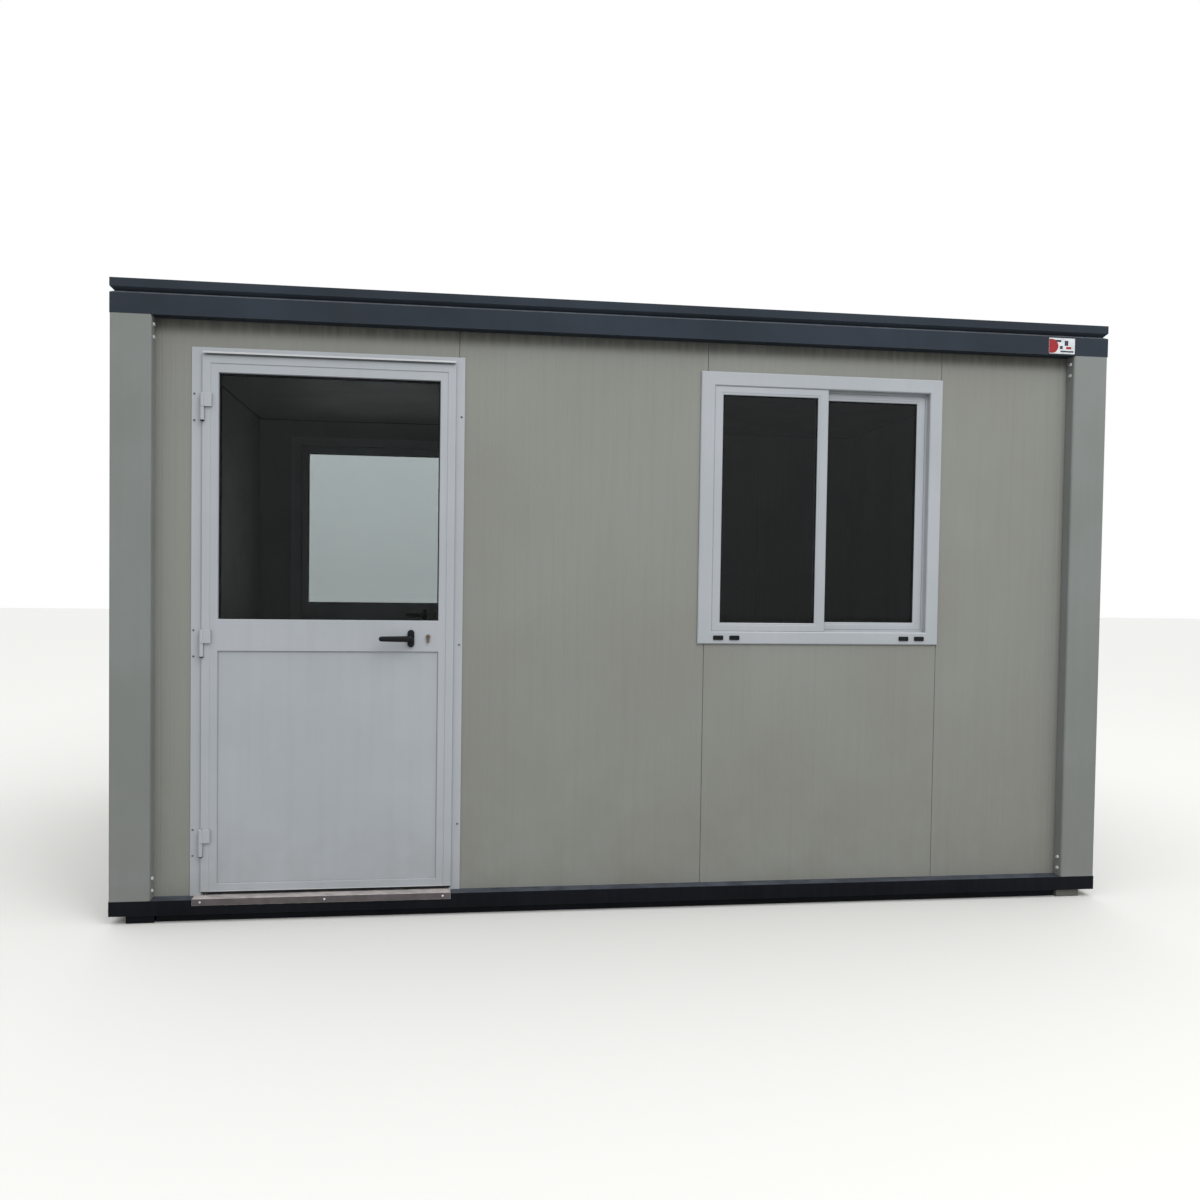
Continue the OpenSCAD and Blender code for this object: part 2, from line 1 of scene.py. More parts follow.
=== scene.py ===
# Portable site cabin: a painted steel frame on skids, walls of coated sandwich panels,
# a half-glazed door in each long side and a sliding window in the front.
# Everything is in metres on the frame's own axes; look-up sizes are in millimetres.
import json
import math

import bmesh
import bpy
from mathutils import Matrix, Vector


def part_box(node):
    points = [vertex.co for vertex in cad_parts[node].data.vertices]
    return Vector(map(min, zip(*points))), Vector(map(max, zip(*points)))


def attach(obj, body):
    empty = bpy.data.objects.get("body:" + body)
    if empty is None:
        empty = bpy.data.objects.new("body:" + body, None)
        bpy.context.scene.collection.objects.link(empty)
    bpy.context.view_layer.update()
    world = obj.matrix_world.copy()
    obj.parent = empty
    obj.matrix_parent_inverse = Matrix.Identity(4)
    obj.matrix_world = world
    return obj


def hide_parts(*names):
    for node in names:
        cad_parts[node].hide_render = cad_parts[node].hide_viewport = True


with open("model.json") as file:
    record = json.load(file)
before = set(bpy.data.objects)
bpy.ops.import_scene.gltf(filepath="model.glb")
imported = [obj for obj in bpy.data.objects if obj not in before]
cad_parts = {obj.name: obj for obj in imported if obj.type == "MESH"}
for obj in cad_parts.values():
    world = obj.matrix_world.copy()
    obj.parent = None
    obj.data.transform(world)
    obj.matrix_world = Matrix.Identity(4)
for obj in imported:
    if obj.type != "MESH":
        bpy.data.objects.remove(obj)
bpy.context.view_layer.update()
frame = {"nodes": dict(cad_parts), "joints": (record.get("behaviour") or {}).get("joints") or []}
mm = 0.001
print("frame loaded:", len(frame["nodes"]), "nodes")


cameraLook = {"place": (-0.7527, -4.7822, 1.3266), "yaw": -0.1181, "pitch": -0.0239,
              "roll": -0.0135, "lens": 27.52, "sensor": 36, "shift": 0.0375}


def makeCamera(look):
    data = bpy.data.cameras.new("camera")
    data.lens = look["lens"]
    data.shift_x = look["shift"]  # the lens centre lies left of the frame's
    data.sensor_width = look["sensor"]
    camera = bpy.data.objects.new("camera", data)
    turn = Matrix.Rotation(look["yaw"], 3, "Z") @ Matrix.Rotation(look["pitch"], 3, "X")
    turn = turn @ Matrix.Rotation(look["roll"], 3, "Y") @ Matrix.Rotation(math.pi / 2, 3, "X")
    camera.matrix_world = Matrix.Translation(look["place"]) @ turn.to_4x4()
    bpy.context.scene.collection.objects.link(camera)
    bpy.context.scene.camera = camera


makeCamera(cameraLook)


def linear(code):  # sRGB hex to linear colour
    parts = [int(code[i:i + 2], 16) / 255 for i in (1, 3, 5)]
    return tuple(c / 12.92 if c <= 0.04045 else ((c + 0.055) / 1.055) ** 2.4
                 for c in parts) + (1.0,)


def addNode(tree, kind, settings=None, links=None):
    node = tree.nodes.new(kind)
    for key, value in (settings or {}).items():
        setattr(node, key, value)
    for key, source in (links or {}).items():
        if isinstance(source, bpy.types.NodeSocket):
            tree.links.new(source, node.inputs[key])
        else:
            node.inputs[key].default_value = source
    return node


def startMaterial(name):
    material = bpy.data.materials.new(name)
    material.use_nodes = True
    tree = material.node_tree
    tree.nodes.clear()
    shader = addNode(tree, "ShaderNodeBsdfPrincipled")
    addNode(tree, "ShaderNodeOutputMaterial", links={"Surface": shader.outputs[0]})
    place = addNode(tree, "ShaderNodeTexCoord").outputs["Object"]
    return material, tree, shader, place


# One coat on a hard base: patches, upright runs, dust with painted top light on what faces
# up, darker low down, a band of painted shade under the eaves with dirt streaks in it, thin
# edges lightened with wear and a painted highlight, and a fine grain in the gloss and the
# bump. The grain is drawn coarser than the real film's, which would be too fine to see.
def coatedFinish(name, look):
    material, tree, shader, place = startMaterial(name)
    upright = addNode(tree, "ShaderNodeMapping", {}, {"Vector": place, "Scale": (1, 1, 0.03)})
    spread = {}
    # size in mm, least and greatest share, and the noise values these belong to
    for key, size, low, high, start, end in (
            ("patches", look["patch"], 0, 1, 0.38, 0.62),
            ("runs", look["run"], 0, look["runs"], 0.45, 0.75),
            ("eavesShadeAndDirt", 22, look["eavesShadeAndDirt"] * 0.72, look["eavesShadeAndDirt"], 0.35, 0.65),
            ("dustAndTopLight", 60, look["dustAndTopLight"] * 0.6, look["dustAndTopLight"], 0.38, 0.62),
            ("lowDarkening", 110, look["lowDarkening"] * 0.35, look["lowDarkening"], 0.38, 0.62),
            ("wearAndHighlight", 30, look["wearAndHighlight"] * 0.3, look["wearAndHighlight"], 0.38, 0.62),
            ("rough", look["patch"] / 3, *look["roughness"], 0.38, 0.62)):
        noise = addNode(tree, "ShaderNodeTexNoise", {}, {
            "Vector": upright.outputs[0] if key in ("runs", "eavesShadeAndDirt") else place,
            "Scale": 1 / (size * mm), "Detail": 3.0})
        between = addNode(tree, "ShaderNodeMapRange", {"clamp": True},
                          {0: noise.outputs[0], 1: start, 2: end, 3: low, 4: high})
        spread[key] = between.outputs[0]
    normal = addNode(tree, "ShaderNodeNewGeometry").outputs["Normal"]
    facing = addNode(tree, "ShaderNodeSeparateXYZ", {}, {0: normal}).outputs[2]
    height = addNode(tree, "ShaderNodeSeparateXYZ", {}, {0: place}).outputs[2]
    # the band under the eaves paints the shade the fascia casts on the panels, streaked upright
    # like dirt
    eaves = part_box("roof_beams_long")[0].z
    masks = {"dustAndTopLight": addNode(tree, "ShaderNodeMapRange", {"clamp": True},
                             {0: facing, 1: 0.35, 2: 0.9, 3: 0, 4: 1}).outputs[0],
             # darker towards the bottom, fading out upwards
             "lowDarkening": addNode(tree, "ShaderNodeMapRange", {"clamp": True},
                              {0: height, 1: 0.08, 2: look["lowDarkeningTop"] * mm, 3: 1,
                               4: 0}).outputs[0],
             "eavesShadeAndDirt": addNode(tree, "ShaderNodeMapRange",
                              {"clamp": True, "interpolation_type": "SMOOTHERSTEP"},
                              {0: height, 1: eaves - look["eavesShadeAndDirtDeep"] * mm,
                               2: eaves - 0.012, 3: 0, 4: 1}).outputs[0],
             # bevelled edge faces: lighter with wear and with a painted highlight
             "wearAndHighlight": addNode(tree, "ShaderNodeAttribute",
                             {"attribute_name": "edge"}).outputs["Fac"]}
    colour = linear(look["colour"])
    for key, amount, tint in (("patches", 1, "shade"), ("runs", look["runs"], "runColour"),
                              ("eavesShadeAndDirt", look["eavesShadeAndDirt"], "eavesShadeAndDirtColour"),
                              ("dustAndTopLight", look["dustAndTopLight"], "dustAndTopLightColour"),
                              ("lowDarkening", look["lowDarkening"], "lowDarkeningColour"),
                              ("wearAndHighlight", look["wearAndHighlight"], "wearAndHighlightColour")):
        if not amount:
            continue
        if key in masks:
            both = addNode(tree, "ShaderNodeMath", {"operation": "MULTIPLY"},
                           {0: masks[key], 1: spread[key]})
            spread[key] = both.outputs[0]
        layer = addNode(tree, "ShaderNodeMix", {"data_type": "RGBA"},
                        {0: spread[key], 6: colour, 7: linear(look[tint])})
        colour = layer.outputs[2]
    tree.links.new(colour, shader.inputs["Base Color"])
    tree.links.new(spread["rough"], shader.inputs["Roughness"])
    grain = addNode(tree, "ShaderNodeTexNoise", {},
                    {"Vector": place, "Scale": 1 / (look["grain"] * mm), "Detail": 2.0})
    bump = addNode(tree, "ShaderNodeBump", {},
                   {"Height": grain.outputs[0], "Strength": look["bump"], "Distance": 0.0006})
    tree.links.new(bump.outputs[0], shader.inputs["Normal"])
    shader.inputs["Metallic"].default_value = look["metallic"]
    shader.inputs["Specular IOR Level"].default_value = look["gloss"]
    return material


# Layer shares and tints: the eaves band is painted shade, the upward-face tint is dust with
# painted top light, the edge tint is wear with a painted highlight.
commonLook = {"patch": 420, "run": 26, "runs": 0.2, "dustAndTopLight": 0.0, "lowDarkening": 0.0, "lowDarkeningTop": 500,
              "wearAndHighlight": 0.0, "grain": 4, "bump": 0.12, "metallic": 0.0, "gloss": 0.3,
              "eavesShadeAndDirt": 0.0, "eavesShadeAndDirtDeep": 75, "eavesShadeAndDirtColour": "#2e2e2b",
              "dustAndTopLightColour": "#8b8880", "lowDarkeningColour": "#5f5a52", "runColour": "#55544f",
              "wearAndHighlightColour": "#9aa0a4", "roughness": (0.42, 0.6)}

finishes = {
    # Air-drying enamel on rolled steel: satin, blue-grey, paler on upward faces with dust and
    # painted top light, and on its edges with wear and a painted highlight.
    "satinEnamelSteel": {"colour": "#232b35", "shade": "#1e252e", "runs": 0.25,
                         "runColour": "#1f242b", "dustAndTopLight": 0.5, "dustAndTopLightColour": "#6d7072",
                         "wearAndHighlight": 0.5, "wearAndHighlightColour": "#3b444e", "gloss": 0.2,
                         "roughness": (0.38, 0.55)},
    # Bitumen chassis paint on the floor beams: near black, dull, the ledge's upward face paler
    # with dust and painted top light.
    "chassisPaintSteel": {"colour": "#0a0d13", "shade": "#07090e", "dustAndTopLight": 0.75,
                          "dustAndTopLightColour": "#474c54", "wearAndHighlight": 0.35, "wearAndHighlightColour": "#282d36",
                          "runs": 0.3, "runColour": "#171a20", "gloss": 0.12,
                          "roughness": (0.5, 0.7)},
    # Grey enamel on folded steel posts: plain, a little lighter on the folds with wear and a
    # painted highlight.
    "greyEnamelSteel": {"colour": "#717574", "shade": "#6d716e", "wearAndHighlight": 0.4, "lowDarkening": 0.2,
                        "wearAndHighlightColour": "#878b8c", "runs": 0.1, "runColour": "#5b5e5c",
                        "lowDarkeningTop": 700},
    # Polyester-coated panel sheet: warm grey-green, matt, faint upright rain runs, and a
    # streaky dark band close under the eaves: painted shade from the fascia, with dirt streaks in
    # it.
    "polyesterPanelSheet": {"colour": "#7a7c77", "shade": "#777873", "runs": 0.12,
                            "runColour": "#686862", "run": 18, "lowDarkening": 0.25,
                            "lowDarkeningColour": "#66655d", "lowDarkeningTop": 900, "gloss": 0.2,
                            "eavesShadeAndDirt": 0.62,
                            "roughness": (0.5, 0.62), "patch": 650, "bump": 0.06},
    # Extruded PVC: cool white gone slightly grey with road dust, smooth satin, its bevelled edges
    # lightened with a painted highlight.
    "extrudedPvc": {"colour": "#999da3", "shade": "#94999e", "runs": 0.08, "wearAndHighlight": 0.45,
                    "runColour": "#7e8081", "wearAndHighlightColour": "#b7bcc1", "lowDarkening": 0.3,
                    "lowDarkeningColour": "#7e7c78", "dustAndTopLight": 0.35, "dustAndTopLightColour": "#8d8b86",
                    "gloss": 0.35, "roughness": (0.3, 0.45), "grain": 9, "bump": 0.05},
    # Pressed PVC door panel: a touch warmer and flatter than the profiles round it.
    "pressedPvcPanel": {"colour": "#969ba0", "shade": "#93989d", "runs": 0.1, "lowDarkening": 0.3,
                        "runColour": "#7b7e81", "lowDarkeningColour": "#807e7a", "patch": 260,
                        "roughness": (0.35, 0.5), "grain": 7, "bump": 0.05},
    # White PVC of the drip strip: brighter than the frame behind it, its edges lightened with a
    # painted highlight.
    "brightPvcStrip": {"colour": "#b1b4b6", "shade": "#a9abad", "runs": 0.05, "wearAndHighlight": 0.3,
                      "runColour": "#908f8b", "wearAndHighlightColour": "#bcbec0", "grain": 9,
                      "bump": 0.05, "roughness": (0.3, 0.45)},
    # Paint on the front right foot: dull mid grey; its colour and its darker low layer hold
    # painted shade, as it stands in the shadow under the cabin.
    "shadedFootSteel": {"colour": "#5b5e5c", "shade": "#4c4f4d", "patch": 60, "lowDarkening": 0.5,
                           "lowDarkeningTop": 120},
    # Frame screws: dull grey heads, darker than the plated fasteners.
    "dullScrewSteel": {"colour": "#6a6d72", "shade": "#585b60", "patch": 9, "runs": 0.0,
                       "metallic": 0.3, "roughness": (0.45, 0.6)},
    # Hot-dip galvanised steel: mottled zinc, half metallic, dull on top of the roof.
    "galvanisedSheet": {"colour": "#8d9397", "shade": "#7f858a", "patch": 26, "runs": 0.2,
                        "runColour": "#6f7478", "dustAndTopLight": 0.35, "dustAndTopLightColour": "#8a8780",
                        "metallic": 0.7, "gloss": 0.5, "roughness": (0.34, 0.55)},
    # Scuffed threshold plate: brown-grey film of mud on steel, its upward face paler with dust
    # and painted top light, its front edge brighter with wear and a painted highlight.
    "scuffedSillSteel": {"colour": "#585254", "shade": "#4f4a4b", "patch": 45, "runs": 0.08,
                         "runColour": "#3b3535", "dustAndTopLight": 0.9, "dustAndTopLightColour": "#aaa5a3",
                         "wearAndHighlight": 0.9, "wearAndHighlightColour": "#b9b4af", "metallic": 0.2,
                         "roughness": (0.4, 0.6)},
    # Zinc-plated fasteners: small bright points with a soft metal gleam.
    "zincPlatedSteel": {"colour": "#e2e4e6", "shade": "#c6c9cc", "patch": 9, "runs": 0.0,
                        "metallic": 0.6, "gloss": 0.5, "roughness": (0.25, 0.4)},
    # Powder-coated die-cast handle: black, with a soft grey sheen painted on its rounded edges as
    # a highlight.
    "blackPowderCoat": {"colour": "#151519", "shade": "#121214", "patch": 30, "runs": 0.0,
                        "wearAndHighlight": 0.2, "wearAndHighlightColour": "#2b2b2e", "gloss": 0.15, "grain": 1.5,
                        "roughness": (0.32, 0.45), "bump": 0.15},
    # Turned brass lock cylinder, tarnished brown, its edges brighter with rubbing and a painted
    # highlight.
    "tarnishedBrass": {"colour": "#857468", "shade": "#5f554d", "patch": 6, "runs": 0.0,
                       "metallic": 0.9, "gloss": 0.5, "wearAndHighlight": 0.4, "wearAndHighlightColour": "#b09a80",
                       "roughness": (0.28, 0.42)},
    # Moulded rubber seals and the caps over drain slots: flat black.
    "blackRubber": {"colour": "#111214", "shade": "#17181a", "patch": 15, "runs": 0.0,
                    "gloss": 0.15, "roughness": (0.65, 0.8), "grain": 2},
    # Grey co-extruded lip between the door's lower panel and its beads: a soft thin line.
    "greySealLip": {"colour": "#70757a", "shade": "#6a6f73", "patch": 15, "runs": 0.0,
                    "gloss": 0.2, "roughness": (0.5, 0.65), "grain": 2},
    # Film-faced plywood deck: dark brown film, scuffed lighter by boots.
    "filmFacedPlywood": {"colour": "#57483b", "shade": "#66574a", "patch": 180, "runs": 0.0,
                         "dustAndTopLight": 0.4, "dustAndTopLightColour": "#857a6c", "roughness": (0.4, 0.6)},
    # Coated ceiling sheet: even, matt, slightly dulled.
    "coatedCeilingSheet": {"colour": "#8d8f8d", "shade": "#868886", "runs": 0.0,
                           "roughness": (0.5, 0.6)},
    # Inner skin of the wall panels: the same sheet in a plainer grey, flat and dull.
    "innerPanelSkin": {"colour": "#868986", "shade": "#7f827f", "runs": 0.05,
                       "runColour": "#737573", "roughness": (0.5, 0.62)},
    # Printed vinyl label: three plain inks with a light weathered film.
    "whiteVinyl": {"colour": "#c3c6c9", "shade": "#b4b7ba", "patch": 30, "runs": 0.1,
                   "roughness": (0.35, 0.5)},
    "redVinyl": {"colour": "#8e1d22", "shade": "#7d1a1f", "patch": 20, "runs": 0.1,
                 "roughness": (0.35, 0.5)},
    "navyVinyl": {"colour": "#2a3040", "shade": "#252a38", "patch": 20, "runs": 0.1,
                  "roughness": (0.35, 0.5)},
}
materials = {}
for finishName, finishLook in finishes.items():
    materials[finishName] = coatedFinish(finishName, {**commonLook, **finishLook})


# Float glass: clear, faintly grey-green, with slow waves and a thin film of dust.
def floatGlass(name, look):
    material, tree, shader, place = startMaterial(name)
    shader.inputs["Base Color"].default_value = linear(look["colour"])
    shader.inputs["Transmission Weight"].default_value = 1.0
    shader.inputs["IOR"].default_value = look["ior"]
    shader.inputs["Specular IOR Level"].default_value = look["gloss"]
    smear = addNode(tree, "ShaderNodeTexNoise", {},
                    {"Vector": place, "Scale": 1 / (look["smear"] * mm), "Detail": 3.0})
    rough = addNode(tree, "ShaderNodeMapRange", {"clamp": True},
                    {0: smear.outputs[0], 1: 0.38, 2: 0.62, 3: look["roughness"][0],
                     4: look["roughness"][1]})
    tree.links.new(rough.outputs[0], shader.inputs["Roughness"])
    wave = addNode(tree, "ShaderNodeTexNoise", {},
                   {"Vector": place, "Scale": 1 / (look["wave"] * mm), "Detail": 1.0})
    bump = addNode(tree, "ShaderNodeBump", {},
                   {"Height": wave.outputs[0], "Strength": 0.05, "Distance": 0.002})
    tree.links.new(bump.outputs[0], shader.inputs["Normal"])
    return material


glassLook = {"colour": "#e3e6e6", "ior": 1.14, "gloss": 0.5, "smear": 160,
             "roughness": (0.0, 0.03), "wave": 240}
materials["floatGlass"] = floatGlass("floatGlass", glassLook)
# The sliding window's panes: the same glass, tinted grey through its thickness.
materials["greyTintedGlass"] = floatGlass("greyTintedGlass", {**glassLook, "ior": 1.24,
                                                                 "colour": "#b9c2c6"})
print("materials made:", len(materials))


# A shape is (points, faces).
def loft(loops, wrap=False, caps=True):
    count = len(loops[0])
    points = [p for loop in loops for p in loop]
    faces = []
    for i in range(len(loops) if wrap else len(loops) - 1):
        a, b = i * count, (i + 1) % len(loops) * count
        faces += [(a + k, a + (k + 1) % count, b + (k + 1) % count, b + k)
                  for k in range(count)]
    if caps and not wrap:
        faces.append(tuple(range(count)))
        faces.append(tuple(reversed(range(len(points) - count, len(points)))))
    return points, faces


def together(*shapes):
    points, faces = [], []
    for shapePoints, shapeFaces in shapes:
        start = len(points)
        points += shapePoints
        faces += [tuple(i + start for i in face) for face in shapeFaces]
    return points, faces


def filleted(corners, steps=4):  # corners are (a, b, radius, tag); returns (a, b, tag)
    line = []
    for i, (a, b, radius, tag) in enumerate(corners):
        here = Vector((a, b))
        before = Vector(corners[i - 1][:2]) - here
        after = Vector(corners[(i + 1) % len(corners)][:2]) - here
        bend = before.angle(after) if before.length and after.length else math.pi
        if radius <= 0 or bend > 3.1:
            line.append((a, b, tag))
            continue
        reach = min(radius / math.tan(bend / 2), before.length * 0.49, after.length * 0.49)
        radius = reach * math.tan(bend / 2)
        centre = here + (before.normalized() + after.normalized()).normalized() * (
            radius / math.sin(bend / 2))
        first = here + before.normalized() * reach - centre
        last = here + after.normalized() * reach - centre
        turn = first.angle_signed(last)
        for k in range(steps + 1):
            spoke = Matrix.Rotation(-turn * k / steps, 2) @ first + centre
            line.append((spoke.x, spoke.y, tag))
    return line


def boxShape(low, high):
    (x0, y0, z0), (x1, y1, z1) = low, high
    ring = [(x0, y0), (x1, y0), (x1, y1), (x0, y1)]
    return loft([[Vector((x, y, z)) for x, y in ring] for z in (z0, z1)])


def lathe(profile, centre, along, count=32):  # profile is (radius, height)
    along = Vector(along).normalized()
    side = along.orthogonal().normalized()
    other = along.cross(side)
    loops = []
    for k in range(count):
        angle = 2 * math.pi * k / count
        out = side * math.cos(angle) + other * math.sin(angle)
        loops.append([Vector(centre) + out * r + along * h for r, h in profile])
    return loft(loops, wrap=True)


def softenEdges(bm, width, segments=2, angle=25):
    layer = bm.faces.layers.float.new("edge")
    sharp = [e for e in bm.edges if len(e.link_faces) == 2
             and e.calc_face_angle(0) > math.radians(angle)]
    made = bmesh.ops.bevel(bm, geom=sharp, offset=width * mm, segments=segments, profile=0.5,
                           affect="EDGES", clamp_overlap=True)["faces"]
    for face in made:
        if face.is_valid:
            face[layer] = 1.0


def linkPiece(name, mesh, finish):
    piece = bpy.data.objects.new(name, mesh)
    mesh.materials.clear()
    mesh.materials.append(materials[finish])
    bpy.context.scene.collection.objects.link(piece)
    return piece


def settle(piece):  # modifiers become plain mesh
    graph = bpy.context.evaluated_depsgraph_get()
    graph.update()
    mesh = bpy.data.meshes.new_from_object(piece.evaluated_get(graph))
    piece.modifiers.clear()
    piece.data = mesh
    return piece


def evenShading(piece, angle=32):
    for face in piece.data.polygons:
        face.use_smooth = True
    piece.data.set_sharp_from_angle(angle=math.radians(angle))
    even = piece.modifiers.new("even", "WEIGHTED_NORMAL")
    even.keep_sharp = True
    return settle(piece)


def cleanMesh(name, shape, bevel=0):
    mesh = bpy.data.meshes.new(name)
    mesh.from_pydata(shape[0], [], shape[1])
    bm = bmesh.new()
    bm.from_mesh(mesh)
    bmesh.ops.remove_doubles(bm, verts=bm.verts, dist=2e-6)
    bmesh.ops.recalc_face_normals(bm, faces=bm.faces)
    if bevel:
        softenEdges(bm, bevel)
    bm.to_mesh(mesh)
    bm.free()
    return mesh


def shapePiece(name, shape, finish, bevel=0, cutters=()):
    piece = linkPiece(name, cleanMesh(name, shape, bevel), finish)
    for cutterShape in cutters:
        cutter = bpy.data.objects.new("cutter", cleanMesh("cutter", cutterShape))
        bpy.context.scene.collection.objects.link(cutter)
        cut = piece.modifiers.new("cut", "BOOLEAN")
        cut.object = cutter
        cut.solver = "EXACT"
        settle(piece)
        bpy.data.objects.remove(cutter)
    return evenShading(piece)


def cadSolids(node):  # lowest and highest corner of each separate solid in a CAD node
    bm = bmesh.new()
    bm.from_mesh(frame["nodes"][node].data)
    bmesh.ops.remove_doubles(bm, verts=bm.verts, dist=1e-5)
    bm.verts.ensure_lookup_table()
    seen, solids = set(), []
    for start in bm.verts:
        if start in seen:
            continue
        island, queue = [], [start]
        seen.add(start)
        while queue:
            vert = queue.pop()
            island.append(vert)
            for edge in vert.link_edges:
                other = edge.other_vert(vert)
                if other not in seen:
                    seen.add(other)
                    queue.append(other)
        low = Vector([min(v.co[i] for v in island) for i in range(3)])
        high = Vector([max(v.co[i] for v in island) for i in range(3)])
        solids.append((low, high))
    bm.free()
    return sorted(solids, key=lambda s: tuple(round(c, 4) for c in s[0]))


def softenedNode(node, name, finish, bevel):
    bm = bmesh.new()
    bm.from_mesh(frame["nodes"][node].data)
    bmesh.ops.remove_doubles(bm, verts=bm.verts, dist=1e-5)
    bmesh.ops.dissolve_limit(bm, angle_limit=math.radians(1), verts=bm.verts, edges=bm.edges)
    plain = bpy.data.meshes.new(name)
    bm.verts.index_update()
    plain.from_pydata([v.co.copy() for v in bm.verts], [],
                      [[v.index for v in f.verts] for f in bm.faces])
    bm.free()
    bm = bmesh.new()
    bm.from_mesh(plain)
    softenEdges(bm, bevel)
    bm.to_mesh(plain)
    bm.free()
    return evenShading(linkPiece(name, plain, finish))


def fit(piece, body, slotName, *nodes):
    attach(piece, body)
    if nodes:
        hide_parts(*nodes)
    return piece


def startTree(name, inputs):
    tree = bpy.data.node_groups.new(name, "GeometryNodeTree")
    for inputName, kind in inputs:
        tree.interface.new_socket(name=inputName, in_out="INPUT", socket_type=kind)
    tree.interface.new_socket(name="Geometry", in_out="OUTPUT",
                              socket_type="NodeSocketGeometry")
    return tree, addNode(tree, "NodeGroupInput").outputs


def endTree(tree, geometry, finish):
    real = addNode(tree, "GeometryNodeRealizeInstances", {}, {0: geometry})
    coated = addNode(tree, "GeometryNodeSetMaterial", {},
                     {0: real.outputs[0], "Material": materials[finish]})
    addNode(tree, "NodeGroupOutput", {}, {0: coated.outputs[0]})


def grownMesh(tree, source, values):  # runs the tree on a mesh and returns the result
    holder = bpy.data.objects.new("holder", source)
    bpy.context.scene.collection.objects.link(holder)
    modifier = holder.modifiers.new("grow", "NODES")
    modifier.node_group = tree
    for item in tree.interface.items_tree:
        if item.in_out == "INPUT" and item.name in values:
            modifier[item.identifier] = values[item.name]
    settle(holder)
    mesh = holder.data
    bpy.data.objects.remove(holder)
    return mesh


# Shapes set out on points: screws, bolts, caps and ribs
def setOutTree(finish):
    tree, given = startTree("setOut_" + finish, [
        ("Geometry", "NodeSocketGeometry"), ("Shape", "NodeSocketObject"),
        ("Width", "NodeSocketFloat"), ("Height", "NodeSocketFloat"),
        ("Turn", "NodeSocketFloat"), ("Seed", "NodeSocketInt")])
    shape = addNode(tree, "GeometryNodeObjectInfo", {}, {"Object": given["Shape"]})
    facing = addNode(tree, "GeometryNodeInputNamedAttribute", {"data_type": "FLOAT_VECTOR"},
                     {"Name": "facing"})
    aligned = addNode(tree, "FunctionNodeAlignRotationToVector", {"axis": "Z"},
                      {"Vector": facing.outputs[0]})
    turn = addNode(tree, "FunctionNodeRandomValue", {"data_type": "FLOAT"},
                   {2: 0.0, 3: given["Turn"], 8: given["Seed"]})
    spin = addNode(tree, "FunctionNodeAxisAngleToRotation", {},
                   {"Axis": (0, 0, 1), "Angle": turn.outputs[1]})
    turned = addNode(tree, "FunctionNodeRotateRotation", {"rotation_space": "LOCAL"},
                     {0: aligned.outputs[0], 1: spin.outputs[0]})
    size = addNode(tree, "ShaderNodeCombineXYZ", {},
                   {0: given["Width"], 1: given["Width"], 2: given["Height"]})
    placed = addNode(tree, "GeometryNodeInstanceOnPoints", {},
                     {"Points": given["Geometry"], "Instance": shape.outputs["Geometry"],
                      "Rotation": turned.outputs[0], "Scale": size.outputs[0]})
    endTree(tree, placed.outputs[0], finish)
    return tree


setOutTrees = {}


def setOut(name, spots, shape, finish, width, height, turn=0.0, seed=3):
    if finish not in setOutTrees:
        setOutTrees[finish] = setOutTree(finish)
    points = bpy.data.meshes.new("spots")
    points.from_pydata([spot for spot, facing in spots], [], [])
    layer = points.attributes.new("facing", "FLOAT_VECTOR", "POINT")
    for i, (spot, facing) in enumerate(spots):
        layer.data[i].vector = facing
    mesh = grownMesh(setOutTrees[finish], points,
                     {"Shape": shape, "Width": width * mm, "Height": height * mm,
                      "Turn": turn, "Seed": seed})
    mesh.name = name
    for face in mesh.polygons:
        face.material_index = 0
    return linkPiece(name, mesh, finish)


def unitShape(name, shape):
    mesh = cleanMesh(name, shape)
    for face in mesh.polygons:
        face.use_smooth = True
    mesh.set_sharp_from_angle(angle=math.radians(35))
    return bpy.data.objects.new(name, mesh)


def circlePoints(count, radiusAt, height):
    return [Vector((radiusAt(k) * math.cos(2 * math.pi * k / count),
                    radiusAt(k) * math.sin(2 * math.pi * k / count), height(k)))
            for k in range(count)]


def screwShape():  # pan head with a cross recess, 1 wide and 1 high
    rings = [(0.5, 0.0), (0.5, 0.35), (0.44, 0.75), (0.3, 1.0), (0.24, 1.0)]
    loops = [circlePoints(16, lambda k, r=r: r, lambda k, h=h: h) for r, h in rings]
    loops.append(circlePoints(16, lambda k: 0.2, lambda k: 0.5 if k % 4 == 0 else 1.0))
    loops.append(circlePoints(16, lambda k: 0.05, lambda k: 0.4))
    return unitShape("screwHead", loft(loops))


def boltShape():  # hexagon head on a washer, 1 wide and 1 high
    def flat(k):
        return math.cos(math.pi / 6) / math.cos(k % 4 * math.pi / 12 - math.pi / 6) * 0.46
    loops = [circlePoints(24, lambda k, r=r: r, lambda k, h=h: h)
             for r, h in ((0.5, 0.0), (0.5, 0.16), (0.48, 0.22))]
    loops.append(circlePoints(24, flat, lambda k: 0.22))
    loops.append(circlePoints(24, flat, lambda k: 0.86))
    loops.append(circlePoints(24, lambda k: min(flat(k), 0.41), lambda k: 1.0))
    return unitShape("boltHead", loft(loops))


screwHead, boltHead = screwShape(), boltShape()


